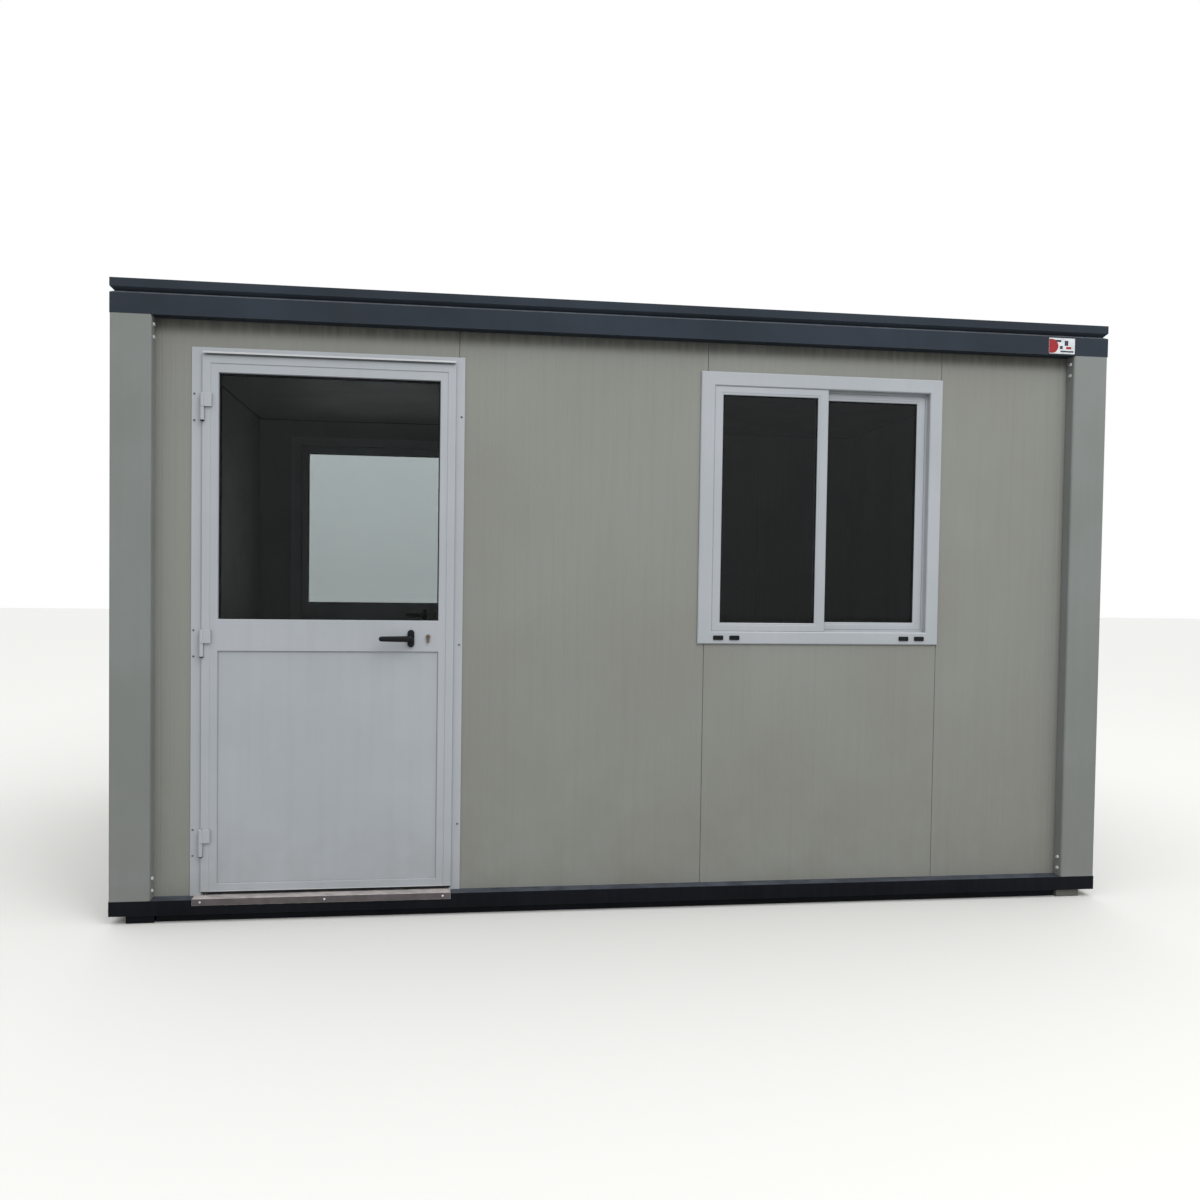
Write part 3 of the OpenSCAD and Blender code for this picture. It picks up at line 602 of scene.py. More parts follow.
carried = [
    # node, piece, material slot, finish, edge radius in mm
    ("skids", "skidBeams", "black_frame", "chassisPaintSteel", 4),
    ("feet", "footBlocks", "dark_frame", "shadedFootSteel", 4),
    ("base_beams_long", "floorBeamsLong", "black_frame", "chassisPaintSteel", 1.8),
    ("base_beams_end", "floorBeamsEnd", "black_frame", "chassisPaintSteel", 1.8),
    ("floor_joists", "floorJoists", "black_frame", "chassisPaintSteel", 3),
    ("roof_beams_long", "roofBeamsLong", "dark_frame", "satinEnamelSteel", 1.8),
    ("roof_beams_end", "roofBeamsEnd", "dark_frame", "satinEnamelSteel", 1.8),
    ("roof_edge_long", "roofEdgeLong", "dark_frame", "satinEnamelSteel", 1.4),
    ("roof_edge_end", "roofEdgeEnd", "dark_frame", "satinEnamelSteel", 1.4),
    ("floor_deck", "floorDeck", "floor_board", "filmFacedPlywood", 1),
    ("ceiling_panel", "ceilingSheet", "ceiling_skin", "coatedCeilingSheet", 1),
]
for node, name, slotName, finish, bevel in carried:
    fit(softenedNode(node, name, finish, bevel), "cabin", slotName, node)
feet = bpy.data.objects["footBlocks"]
feet.data.materials.append(materials["chassisPaintSteel"])
for face in feet.data.polygons:  # only the front right foot is grey
    face.material_index = 1 if face.center.x < 0 or face.center.y > 0 else 0
print("beams, deck and ceiling made")

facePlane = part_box("base_beams_long")[1].y  # long sides stand at plus and minus this
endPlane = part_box("base_beams_long")[1].x
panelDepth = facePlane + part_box("front_panel_middle")[0].y
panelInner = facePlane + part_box("front_panel_middle")[1].y

postLook = {"fold": 9, "lip": 2.5, "wall": 4}


def postPieces(node, name, sideSign, look):
    low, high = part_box(node)
    width = high.y - low.y
    d, w, t = panelDepth, width, look["wall"] * mm
    shapes = []
    for endSign in (-1, 1):
        rims = []
        for grow in (0, t):
            big, small = look["fold"] * mm - grow, look["lip"] * mm
            inner = d - grow
            corners = [(grow, grow, big, 0), (w - grow, grow, big, 0),
                       (w - grow, inner, small, 0), (inner, inner, small, 0),
                       (inner, w - grow, small, 0), (grow, w - grow, big, 0)]
            rims.append([(a, b) for a, b, tag in filleted(corners)])
        loops = []
        for rim, z in ((rims[0], low.z), (rims[0], high.z), (rims[1], high.z),
                       (rims[1], low.z)):
            loops.append([Vector((endSign * (endPlane - a), sideSign * (facePlane - b), z))
                          for a, b in rim])
        shapes.append(loft(loops, wrap=True))
    return shapePiece(name, together(*shapes), "greyEnamelSteel")


fit(postPieces("front_posts", "frontPosts", -1, postLook), "cabin", "grey_post", "front_posts")
fit(postPieces("rear_posts", "rearPosts", 1, postLook), "cabin", "grey_post", "rear_posts")

spots = []
for low, high in cadSolids("post_bolts"):
    middle, size = (low + high) / 2, high - low
    axis = 0 if size.x < size.y else 1
    facing = Vector((0, 0, 0))
    facing[axis] = -1 if middle[axis] > 0 else 1  # bolt heads face along the wall, inwards
    foot = middle.copy()
    foot[axis] -= facing[axis] * size[axis] / 2
    spots.append((foot, facing))
bolts = setOut("postBolts", spots, boltHead, "zincPlatedSteel", 15, 5, 1.0, 7)
fit(bolts, "cabin", "galvanised", "post_bolts")

roofLook = {"pitch": 200, "foot": 60, "top": 30, "high": 20, "bend": 4, "thick": 1.5,
            "screwRows": (60, 620)}


def roofPiece(look):
    low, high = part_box("roof_sheet")
    pitch, foot, top, rise, bend = [look[key] * mm for key in
                                    ("pitch", "foot", "top", "high", "bend")]
    length, thick = high.x - low.x, look["thick"] * mm
    count = int((length - foot) / pitch + 1e-6)
    line = filleted([(-pitch / 2, 0, 0, 0), (-foot / 2, 0, bend, 0),
                     (-top / 2, rise, bend, 0), (top / 2, rise, bend, 0),
                     (foot / 2, 0, bend, 0), (pitch / 2, 0, 0, 0)], 2)
    rows = [[Vector((a, y, b)) for a, b, tag in line] for y in (low.y, high.y)]
    rib = bpy.data.meshes.new("roofRib")
    faces = [(k, k + 1, k + 1 + len(line), k + len(line)) for k in range(len(line) - 1)]
    rib.from_pydata(rows[0] + rows[1], [], faces)
    middle, base = (low.x + high.x) / 2, low.z + thick
    at = [middle + (i - (count - 1) / 2) * pitch for i in range(count)]
    sheet = setOut("roofSheet", [((x, 0, base), (0, 0, 1)) for x in at],
                   bpy.data.objects.new("roofRib", rib), "galvanisedSheet", 1000, 1000)
    bm = bmesh.new()
    bm.from_mesh(sheet.data)
    for ends in ((low.x, at[0] - pitch / 2), (at[-1] + pitch / 2, high.x)):
        flat = [bm.verts.new((x, y, base)) for x, y in
                ((ends[0], low.y), (ends[1], low.y), (ends[1], high.y), (ends[0], high.y))]
        bm.faces.new(flat)
    bmesh.ops.remove_doubles(bm, verts=bm.verts, dist=1e-5)
    bm.to_mesh(sheet.data)
    bm.free()
    shell = sheet.modifiers.new("thick", "SOLIDIFY")
    shell.thickness = thick
    shell.offset = -1
    settle(sheet)
    outer, inner = [row * mm for row in look["screwRows"]]
    screws = [((x, y, base + rise), (0, 0, 1)) for x in at for y in
              (low.y + outer, low.y + inner, 0.0, high.y - inner, high.y - outer)]
    return sheet, screws


roofSheet, roofScrewSpots = roofPiece(roofLook)
fit(roofSheet, "cabin", "galvanised", "roof_sheet")
print("posts, bolts and roof made")


# Wall panels: flat sheets with fine upright grooves
def panelTree():
    tree, given = startTree("groovedPanel", [
        ("Geometry", "NodeSocketGeometry"), ("Width", "NodeSocketFloat"),
        ("Height", "NodeSocketFloat"), ("Thickness", "NodeSocketFloat"),
        ("Groove spacing", "NodeSocketFloat"), ("Groove depth", "NodeSocketFloat")])

    index = addNode(tree, "GeometryNodeInputIndex").outputs[0]
    value = {}
    for name, operation, first, second in (
            ("parts", "DIVIDE", given["Width"], given["Groove spacing"]),
            ("grooves", "ROUND", "parts", 0.0), ("cells", "MULTIPLY", "grooves", 16.0),
            ("columns", "ADD", "cells", 1.0), ("half", "DIVIDE", index, 2.0),
            ("column", "FLOOR", "half", 0.0), ("within", "MODULO", "column", 16.0),
            ("inGroove", "COMPARE", "within", 8.0),
            ("below", "MULTIPLY", given["Groove depth"], -1.0),
            ("deep", "MULTIPLY", "inGroove", "below"),
            ("down", "MULTIPLY", given["Thickness"], -1.0)):
        ends = [value[end] if isinstance(end, str) else end for end in (first, second)]
        step = addNode(tree, "ShaderNodeMath", {"operation": operation},
                       {0: ends[0], 1: ends[1]})
        value[name] = step.outputs[0]
    sheet = addNode(tree, "GeometryNodeMeshGrid", {},
                    {"Size X": given["Width"], "Size Y": given["Height"],
                     "Vertices X": value["columns"], "Vertices Y": 2})
    offset = addNode(tree, "ShaderNodeCombineXYZ", {}, {2: value["deep"]})
    grooved = addNode(tree, "GeometryNodeSetPosition", {},
                      {"Geometry": sheet.outputs[0], "Offset": offset.outputs[0]})
    down = addNode(tree, "ShaderNodeCombineXYZ", {}, {2: value["down"]})
    back = addNode(tree, "GeometryNodeExtrudeMesh", {},
                   {"Mesh": grooved.outputs[0], "Offset": down.outputs[0],
                    "Offset Scale": 1.0, "Individual": False})
    both = addNode(tree, "GeometryNodeJoinGeometry")
    tree.links.new(grooved.outputs[0], both.inputs[0])
    tree.links.new(back.outputs[0], both.inputs[0])
    closed = addNode(tree, "GeometryNodeMergeByDistance", {},
                     {0: both.outputs[0], "Distance": 1e-5})
    endTree(tree, closed.outputs[0], "polyesterPanelSheet")
    return tree


panelLook = {"spacing": 50, "depth": 0.8}  # shallow lines rolled into the sheet
groovedPanel = panelTree()


def panelPiece(node, name, outward, look):
    outward = Vector(outward)
    up = Vector((0, 0, 1))
    along = up.cross(outward)
    bm = bmesh.new()
    for low, high in cadSolids(node):
        if node == "front_panel_over_door":  # this joint is pressed shut
            low.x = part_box("front_panel_left")[1].x + 0.1 * mm
        size, middle = high - low, (low + high) / 2
        across = abs(size.dot(along))
        thick = abs(size.dot(outward))
        mesh = grownMesh(groovedPanel, bpy.data.meshes.new("start"), {
            "Width": across, "Height": size.z, "Thickness": thick,
            "Groove spacing": look["spacing"] * mm, "Groove depth": look["depth"] * mm})
        middle = middle + outward * thick / 2
        turn = Matrix((along, up, outward)).transposed().to_4x4()
        mesh.transform(Matrix.Translation(middle) @ turn)
        bm.from_mesh(mesh)
    bmesh.ops.recalc_face_normals(bm, faces=bm.faces)
    mesh = bpy.data.meshes.new(name)
    bm.to_mesh(mesh)
    bm.free()
    piece = evenShading(linkPiece(name, mesh, "polyesterPanelSheet"))
    piece.data.materials.append(materials["innerPanelSkin"])
    for face in piece.data.polygons:
        if face.normal.dot(outward) < -0.7:
            face.material_index = 1
    return piece


panelNodes = [
    ("front_panel_left", "panelFrontLeft", (0, -1, 0)),
    ("front_panel_over_door", "panelOverFrontDoor", (0, -1, 0)),
    ("front_panel_middle", "panelFrontMiddle", (0, -1, 0)),
    ("front_panel_over_window", "panelOverWindow", (0, -1, 0)),
    ("front_panel_under_window", "panelUnderWindow", (0, -1, 0)),
    ("front_panel_right", "panelFrontRight", (0, -1, 0)),
    ("rear_panels", "panelsRear", (0, 1, 0)),
    ("rear_panel_over_door", "panelOverRearDoor", (0, 1, 0)),
    ("left_end_panels", "panelsLeftEnd", (-1, 0, 0)),
    ("right_end_panels", "panelsRightEnd", (1, 0, 0)),
]
for node, name, outward in panelNodes:
    fit(panelPiece(node, name, outward, panelLook), "cabin", "wall_panel", node)
print("wall panels made")


# Frames swept round a rectangle:
# rects are (x0, x1, z0, z1); a profile point is (rectangle, mm outside it, depth mm, radius).
# Depth is measured from the long side's plane inwards.
def frameSweep(rects, profile, sideSign, openBelow=False, steps=3):
    reference = next(iter(rects.values()))
    corners = []
    for rectName, out, depth, radius in profile:
        base = (reference[0] - rects[rectName][0]) * 1000
        corners.append((base + out, depth, radius, (rectName, base)))
    line = filleted(corners, steps)
    stations = [(0, -1, 2, -1), (0, -1, 3, 1), (1, 1, 3, 1), (1, 1, 2, -1)]
    loops = []
    for xIndex, xSign, zIndex, zSign in stations:
        loop = []
        for along, depth, (rectName, base) in line:
            rect, out = rects[rectName], (along - base) * mm
            x = rect[xIndex] + xSign * out
            z = rect[zIndex] + zSign * out
            if openBelow and zIndex == 2:
                z = rects["floor"][2]
            loop.append(Vector((x, sideSign * (facePlane - depth * mm), z)))
        loops.append(loop)
    return loft(loops, wrap=not openBelow)


def rectOf(node):
    low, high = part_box(node)
    return (low.x, high.x, low.z, high.z)


def shrunk(rect, left, right=None, below=None, above=None):
    right = left if right is None else right
    below = left if below is None else below
    above = left if above is None else above
    return (rect[0] + left * mm, rect[1] - right * mm, rect[2] + below * mm,
            rect[3] - above * mm)


def depthOf(node, sideSign):  # nearest and furthest depth behind the long side's plane, mm
    low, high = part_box(node)
    ends = [(facePlane - sideSign * y) / mm for y in (low.y, high.y)]
    return min(ends), max(ends)


def sidePoint(sideSign, x, depth, z):
    return Vector((x, sideSign * (facePlane - depth * mm), z))


doorLook = {
    "band": 30, "bandBelow": 9, "step": 2.4, "bead": 13, "beadDrop": 6, "beadFlat": 3,
    "gasket": 3.5, "seal": 4.5, "pane": 4, "spacer": 3, "drip": 7, "dripDeep": 20, "shadeStrip": 6,
    "screw": 8, "screwHigh": 2.4,
    "flangeScrews": (230, 940, 1833), "sillScrews": (30, 492, 944),
}


def beadShape(rect, face, glass, sideSign, look, back=False):
    sign = -1 if back else 1
    drop = [(look["bead"], 2.4), (look["bead"], -0.1), (look["beadFlat"], -0.1),
            (0.5, look["beadDrop"])]
    profile = [("light", out, face + sign * d, r) for (out, d), r in
               zip(drop, (0, 0.5, 1.5, 0.8))]
    profile += [("light", 0.5, glass, 0), ("light", 4, glass, 0)]
    return frameSweep({"light": rect}, profile, sideSign)


def gasketShape(rect, glass, sideSign, look, sign=1):
    profile = [("light", 1, glass - sign * 1.5, 0), ("light", -look["gasket"] + 1,
               glass - sign * 1.2, 0.6), ("light", -look["gasket"], glass, 0),
               ("light", 1, glass, 0)]
    return frameSweep({"light": rect}, profile, sideSign)


def cornerStrip(x0, x1, section, sideSign):  # a section of (depth, z) run along x
    loops = [[sidePoint(sideSign, x, depth, z) for depth, z in section] for x in (x0, x1)]
    return loft(loops)


def plateShape(centre, width, height, low, high, corner, sideSign, edge=0.8):
    x, z = centre
    loops = []
    for depth, shrink in ((low, 0), (high - (edge if high > low else -edge), 0), (high, edge)):
        w, h = width / 2 - shrink, height / 2 - shrink
        r = max(corner - shrink, 0.2)
        ring = filleted([(-w, -h, r, 0), (w, -h, r, 0), (w, h, r, 0), (-w, h, r, 0)], 5)
        loops.append([sidePoint(sideSign, x + a * mm, depth, z + b * mm)
                      for a, b, tag in ring])
    return loft(loops)


def leverGrip(spindleX, spindleZ, face, sideSign, outSign, look):
    # outSign is 1 where depth grows away from the leaf (inside), -1 on the outside
    loops = []
    bend, neck, length = look["bend"], look["neck"], look["length"]
    waist = neck * look["waist"]
    # (distance along -x, distance from the leaf, heading angle, half height, half thickness)
    path = [(0, 0, 90, neck, neck), (0, look["waistAt"], 90, waist, waist)]
    centreLine = look["reach"] - look["thick"] / 2
    for k in range(7):
        angle = math.radians(90 - 90 * k / 6)
        share = k / 6
        path.append((
            bend - bend * math.sin(angle),
            centreLine - bend + bend * math.sin(math.radians(90 * share)),
            90 - 90 * share,
            neck * (1 - share) + look["high"] / 2 * share,
            waist * (1 - share) + look["thick"] / 2 * share))
    for share in (0.3, 0.6, 0.85):
        path.append((bend + (length - bend) * share, centreLine, 0,
                     (look["high"] - look["taper"] * share) / 2,
                     (look["thick"] - look["taper"] * 0.4 * share) / 2))
    tipHigh = (look["high"] - look["taper"]) / 2
    tipThick = (look["thick"] - look["taper"] * 0.4) / 2
    for k in range(1, 7):
        angle = math.radians(90 * k / 6)
        thin = tipThick * math.cos(angle) ** 0.6 if k < 6 else 0.3
        path.append((length - tipHigh + tipHigh * math.sin(angle), centreLine, 0,
                     max(tipHigh * math.cos(angle), 0.4), max(thin, 0.3)))
    for along, out, heading, halfHigh, halfThick in path:
        turn = math.radians(heading)
        loop = []
        for k in range(20):
            angle = 2 * math.pi * k / 20
            c, s = math.cos(angle), math.sin(angle)
            a = math.copysign(abs(c) ** look["square"], c) * halfThick
            b = math.copysign(abs(s) ** look["square"], s) * halfHigh
            # the section lies across the heading
            dx = a * math.sin(turn)
            dOut = a * math.cos(turn)
            x = spindleX - (along - dx) * mm
            loop.append(sidePoint(sideSign, x, face + outSign * (out + dOut),
                                  spindleZ + b * mm))
        loops.append(loop)
    return loft(loops)


leverLook = {"reach": 44, "length": 121, "neck": 8.8, "waist": 0.94, "waistAt": 10, "bend": 16,
             "high": 23.6, "thick": 12.0, "taper": 4.0, "square": 0.72}
hingeLook = {"knuckle": 8, "pinHole": 4.05, "plate": 8, "cover": 3.4, "corner": 2, "cap": 3}
roseLook = {"high": 68, "wide": 27, "thick": 8, "hole": 10}
lockLook = {"barrel": 8.5, "foot": 5, "drop": 19.5, "proud": 6.2, "plug": 6.2,
            "slot": (1.8, 7.4), "rise": 16.5}  # rise is its top over the spindle


def makeDoor(prefix, sideSign):
    look = doorLook
    leafRect, openTop = rectOf(prefix + "_door_leaf"), rectOf(prefix + "_door_glass")
    openLow = rectOf(prefix + "_door_lower_panel")
    leafBody, handleBody = prefix + "_door", prefix + "_handle"
    front, back = depthOf(prefix + "_door_leaf", sideSign)
    glassNear, glassFar = depthOf(prefix + "_door_glass", sideSign)
    frameRect = rectOf(prefix + "_door_frame")
    openRect = (openTop[0], openTop[1], openLow[2], openTop[3])

    # leaf: stiles and rails as one mitred sweep, and the mid rail between them
    coreRect = shrunk(leafRect, 24, 24, 0, 24)
    band = shrunk(leafRect, look["band"], look["band"], look["bandBelow"], look["band"])
    lip = shrunk(leafRect, 0, 0, look["shadeStrip"], 0)
    rects = {"open": openRect, "leaf": lip, "core": coreRect, "band": band}
    step = front + look["step"]
    profile = [("leaf", 0, front + 4, 0.4), ("leaf", 0, front, 1.6), ("band", 0.6, front, 0.5),
               ("band", -0.6, step, 0.5), ("open", 3, step, 0), ("open", 3, back - 1, 0),
               ("open", 9, back, 0.8), ("core", 0, back, 1.5), ("core", 0, front + 4, 0)]
    leaf = frameSweep(rects, profile, sideSign)
    # black rubber strip along the leaf's foot: painted shade for the dark gap over the sill
    shadeStrip = cornerStrip(leafRect[0] + 0.003, leafRect[1] - 0.003, [
        (front + 1, leafRect[2]), (front + 1, lip[2] + 0.001), (front + 5, lip[2] + 0.001),
        (front + 5, leafRect[2])], sideSign)
    low, high = openLow[3], openTop[2]
    over = 3 * mm
    section = [(step + 1, low), (step, low + 0.001), (step, high - 0.001), (step + 1, high),
               (back - 1, high), (back, high - 0.006), (back, low + 0.006), (back - 1, low)]
    rail = cornerStrip(openRect[0] - over, openRect[1] + over, section, sideSign)

    hinges = cadSolids(prefix + "_door_hinges_moving")
    fixedHinges = cadSolids(prefix + "_door_hinges_fixed")
    pin = [j for j in frame["joints"] if j["child"] == leafBody][0]
    pinX, pinY = pin["pos_m"][0], pin["pos_m"][1]
    pinDepth = (facePlane - sideSign * pinY) / mm
    ends = sorted((sideSign * facePlane, sideSign * (facePlane - 0.09)))
    notches = [boxShape((leafRect[0] - 0.01, ends[0], fixed[0].z - 0.001),
                        (pinX + 0.009, ends[1], moving[1].z + 0.001))
               for moving, fixed in zip(hinges, fixedHinges)]
    spindle = [j for j in frame["joints"] if j["child"] == handleBody][0]["pos_m"]
    holes = [lathe([(0, 0), (0.0055, 0), (0.0055, 0.2), (0, 0.2)],
                   (spindle[0], sideSign * facePlane - 0.1, spindle[2]), (0, 1, 0), 24)]
    leafPiece = shapePiece(prefix + "DoorStilesAndRails", leaf, "extrudedPvc",
                           cutters=notches)
    fit(leafPiece, leafBody, "white_profile", prefix + "_door_leaf")
    fit(shapePiece(prefix + "DoorSweep", shadeStrip, "blackRubber"), leafBody, "black_handle")
    fit(shapePiece(prefix + "DoorMidRail", rail, "extrudedPvc", cutters=holes), leafBody,
        "white_profile")

    # glazing beads, seals, panes and the spacer between them
    lowNear, lowFar = depthOf(prefix + "_door_lower_panel", sideSign)
    beads = together(beadShape(openTop, step, glassNear, sideSign, look),
                     beadShape(openLow, step, lowNear, sideSign,
                               {**look, "beadDrop": 4, "beadFlat": 11}),
                     beadShape(openTop, back, glassFar, sideSign, look, True),
                     beadShape(openLow, back, lowFar, sideSign, look, True))
    fit(shapePiece(prefix + "DoorBeads", beads, "extrudedPvc"), leafBody, "white_profile")
    seals = together(gasketShape(openTop, glassNear, sideSign, look),
                     gasketShape(openTop, glassFar, sideSign, look, -1))
    fit(shapePiece(prefix + "DoorGaskets", seals, "blackRubber"), leafBody, "black_handle")
    lips = together(gasketShape(openLow, lowNear, sideSign, {**look, "gasket": 1}),
                    gasketShape(openLow, lowFar, sideSign, {**look, "gasket": 1}, -1))
    fit(shapePiece(prefix + "DoorPanelLips", lips, "greySealLip"), leafBody, "white_profile")
    pane = shrunk(openTop, -2.5)
    panes = []
    for near, far in ((glassNear, glassNear + look["pane"]), (glassFar - look["pane"], glassFar)):
        ends = sorted(sideSign * (facePlane - d * mm) for d in (near, far))
        panes.append(boxShape((pane[0], ends[0], pane[2]), (pane[1], ends[1], pane[3])))
    fit(shapePiece(prefix + "DoorPanes", together(*panes), "floatGlass", bevel=0.5),
        leafBody, "glazing", prefix + "_door_glass")
    spacer = frameSweep({"light": openTop}, [
        ("light", 2.4, glassNear + look["pane"], 0), ("light", -look["spacer"], glassNear
         + look["pane"], 0.5), ("light", -look["spacer"], glassFar - look["pane"], 0.5),
        ("light", 2.4, glassFar - look["pane"], 0)], sideSign)
    fit(shapePiece(prefix + "DoorSpacer", spacer, "blackRubber"), leafBody, "black_handle")
    lower = softenedNode(prefix + "_door_lower_panel", prefix + "DoorLowerPanel",
                         "pressedPvcPanel", 1)
    fit(lower, leafBody, "white_infill", prefix + "_door_lower_panel")

    # frame round the leaf, with its seal and the drip strip
    bodyRect = shrunk(rectOf(prefix + "_panel_over_door"), 2)
    doorway = shrunk(leafRect, 19)
    bodyTop = rectOf(prefix + "_panel_over_door")[2] - 0.001
    floorZ = frameRect[2]
    flange = (frameRect[0], frameRect[1], floorZ, frameRect[3])
    rects = {"door": (doorway[0], doorway[1], floorZ, doorway[3]), "flange": flange,
             "body": (bodyRect[0], bodyRect[1], floorZ, bodyTop), "floor": flange}
    faceAt, wallAt, innerAt = panelDepth / mm - 4, panelDepth / mm, panelInner / mm
    profile = [("flange", 0, wallAt, 0), ("flange", 0, faceAt, 1.8), ("door", 0, faceAt, 1),
               ("door", 0, innerAt + 4, 1), ("flange", 0, innerAt + 4, 1.5),
               ("flange", 0, innerAt, 0), ("body", 0, innerAt, 0), ("body", 0, wallAt, 0)]
    fixed = frameSweep(rects, profile, sideSign, openBelow=True)
    dripLow = leafRect[3] + 0.005
    dripHigh, out = dripLow + look["drip"] * mm, faceAt - look["dripDeep"]
    drip = cornerStrip(leafRect[0] + 0.004, leafRect[1], [
        (faceAt, dripHigh + 0.003), (out + 1, dripHigh), (out, dripHigh - 0.001),
        (out, dripLow), (out + 1.4, dripLow), (out + 2.2, dripHigh - 0.0022),
        (faceAt, dripHigh + 0.0006)], sideSign)
    fit(shapePiece(prefix + "DoorFrame", fixed, "extrudedPvc"), "cabin", "white_profile",
        prefix + "_door_frame")
    fit(shapePiece(prefix + "DoorDripStrip", drip, "brightPvcStrip"), "cabin",
        "white_profile")
    sealProfile = [("door", 5, faceAt, 0), ("door", 5, faceAt - look["seal"] + 0.4, 1),
                   ("door", 9, faceAt - look["seal"] + 0.4, 1), ("door", 9, faceAt, 0)]
    seal = frameSweep(rects, sealProfile, sideSign, openBelow=True)
    fit(shapePiece(prefix + "DoorSeal", seal, "blackRubber"), "cabin", "black_handle")

    sill = softenedNode(prefix + "_door_sill", prefix + "DoorSill", "scuffedSillSteel", 0.9)
    fit(sill, "cabin", "galvanised", prefix + "_door_sill")

    # hinges: a plated half on the leaf, a lower half with the pin on the frame
    moving, still, caps = [], [], []
    r, inner, proud = [hingeLook[key] * mm for key in ("knuckle", "pinHole", "plate")]
    for (lowPoint, highPoint), (lowFixed, highFixed) in zip(hinges, fixedHinges):
        z0, z1 = lowPoint.z, highPoint.z
        centre = (pinX, pinY, 0)
        moving.append(lathe([(inner, z0), (r - 0.0006, z0), (r, z0 + 0.0006),
                             (r, z1 - 0.0016), (r - 0.0016, z1), (inner, z1)], centre,
                            (0, 0, 1)))
        reach = (highPoint.x - pinX) / mm
        for start, near, far in ((5, front, front - 7), (0, front - 8 + hingeLook["cover"],
                                                         front - 8)):
            moving.append(plateShape((pinX + (start + reach) / 2 * mm, (z0 + z1) / 2),
                                     reach - start, (z1 - z0) / mm, near, far,
                                     hingeLook["corner"], sideSign, 1.2))
        f0, f1 = lowFixed.z, z0 - 0.001
        still.append(lathe([(0, f0), (r - 0.0016, f0), (r, f0 + 0.0016), (r, f1 - 0.0006),
                            (r - 0.0006, f1), (0, f1)], centre, (0, 0, 1)))
        still.append(lathe([(0, f0 + 0.002), (0.004, f0 + 0.002), (0.004, z1 - 0.0004),
                            (0.0034, z1), (0, z1)], centre, (0, 0, 1), 24))
        ends = sorted(sideSign * (facePlane - d * mm) for d in (pinDepth, faceAt))
        still.append(boxShape((pinX - r, ends[0], f0), (pinX + r, ends[1], f1)))
        capTop = f0 + hingeLook["cap"] * mm
        caps.append(lathe([(0, f0 - 0.0006), (r - 0.0016, f0 - 0.0006), (r + 0.0003, f0
                           + 0.001), (r + 0.0003, capTop), (0, capTop)], centre, (0, 0, 1)))
    fit(shapePiece(prefix + "HingeLeaves", together(*moving), "extrudedPvc"), leafBody,
        "white_profile", prefix + "_door_hinges_moving")
    fit(shapePiece(prefix + "HingeBases", together(*still), "extrudedPvc"), "cabin",
        "white_profile", prefix + "_door_hinges_fixed")
    fit(shapePiece(prefix + "HingeCaps", together(*caps), "blackRubber"), "cabin",
        "black_handle")

    # rose, lock cylinder and lever on both faces
    blackParts, brassParts, grips = [], [], []
    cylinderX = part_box(prefix + "_door_lock")[1].x - lockLook["barrel"] * mm
    half, thick = roseLook["wide"] / 2, roseLook["thick"]
    straight, hole = roseLook["high"] / 2 - half, roseLook["hole"] * mm
    turns = [2 * math.pi * (k + 0.5) / 48 for k in range(48)]
    for face, outSign in ((front, -1), (back, 1)):
        loops = []
        for out, shrink in ((0, 0), (thick - 2.8, 0), (thick - 1.2, 0.5), (thick - 0.3, 1.6),
                            (thick, 3.2)):
            loop = []
            for a in turns:
                lift = math.copysign(straight, math.sin(a))
                loop.append(sidePoint(
                    sideSign, spindle[0] + (half - shrink) * mm * math.cos(a),
                    face + outSign * out,
                    spindle[2] + (lift + (half - shrink) * math.sin(a)) * mm))
            loops.append(loop)
        for out in (thick, 0):
            loops.append([sidePoint(sideSign, spindle[0] + hole * math.cos(a),
                                    face + outSign * out, spindle[2] + hole * math.sin(a))
                          for a in turns])
        blackParts.append(loft(loops, wrap=True))
        grips.append(leverGrip(spindle[0], spindle[2], face, sideSign, outSign, leverLook))
    nearest = min(sideSign * (facePlane - d * mm) for d in (front, back))
    spindleBar = lathe([(0, 0), (0.0045, 0), (0.0045, (back - front) * mm),
                        (0, (back - front) * mm)], (spindle[0], nearest, spindle[2]),
                       (0, 1, 0), 24)
    barrel, foot, drop = lockLook["barrel"], lockLook["foot"], lockLook["drop"]
    proud = lockLook["proud"]
    lockTop = spindle[2] + lockLook["rise"] * mm
    section = []
    for k in range(25):
        angle = math.radians(-52 + 284 * k / 24)
        section.append((barrel * math.cos(angle), barrel * math.sin(angle)))
    for k in range(13):
        angle = math.radians(180 + 180 * k / 12)
        section.append((foot * math.cos(angle), -drop + foot * math.sin(angle)))
    loops = []
    for depth, shrink in ((front - proud, 0.7), (front - proud + 0.6, 0),
                          (back + proud - 0.6, 0), (back + proud, 0.7)):
        loop = []
        for a, b in section:
            aside = a - math.copysign(min(shrink, abs(a)), a)
            lift = b - barrel - math.copysign(shrink, b + 8) * 0.6
            loop.append(sidePoint(sideSign, cylinderX + aside * mm, depth,
                                  lockTop + lift * mm))
        loops.append(loop)
    brassParts.append(loft(loops))
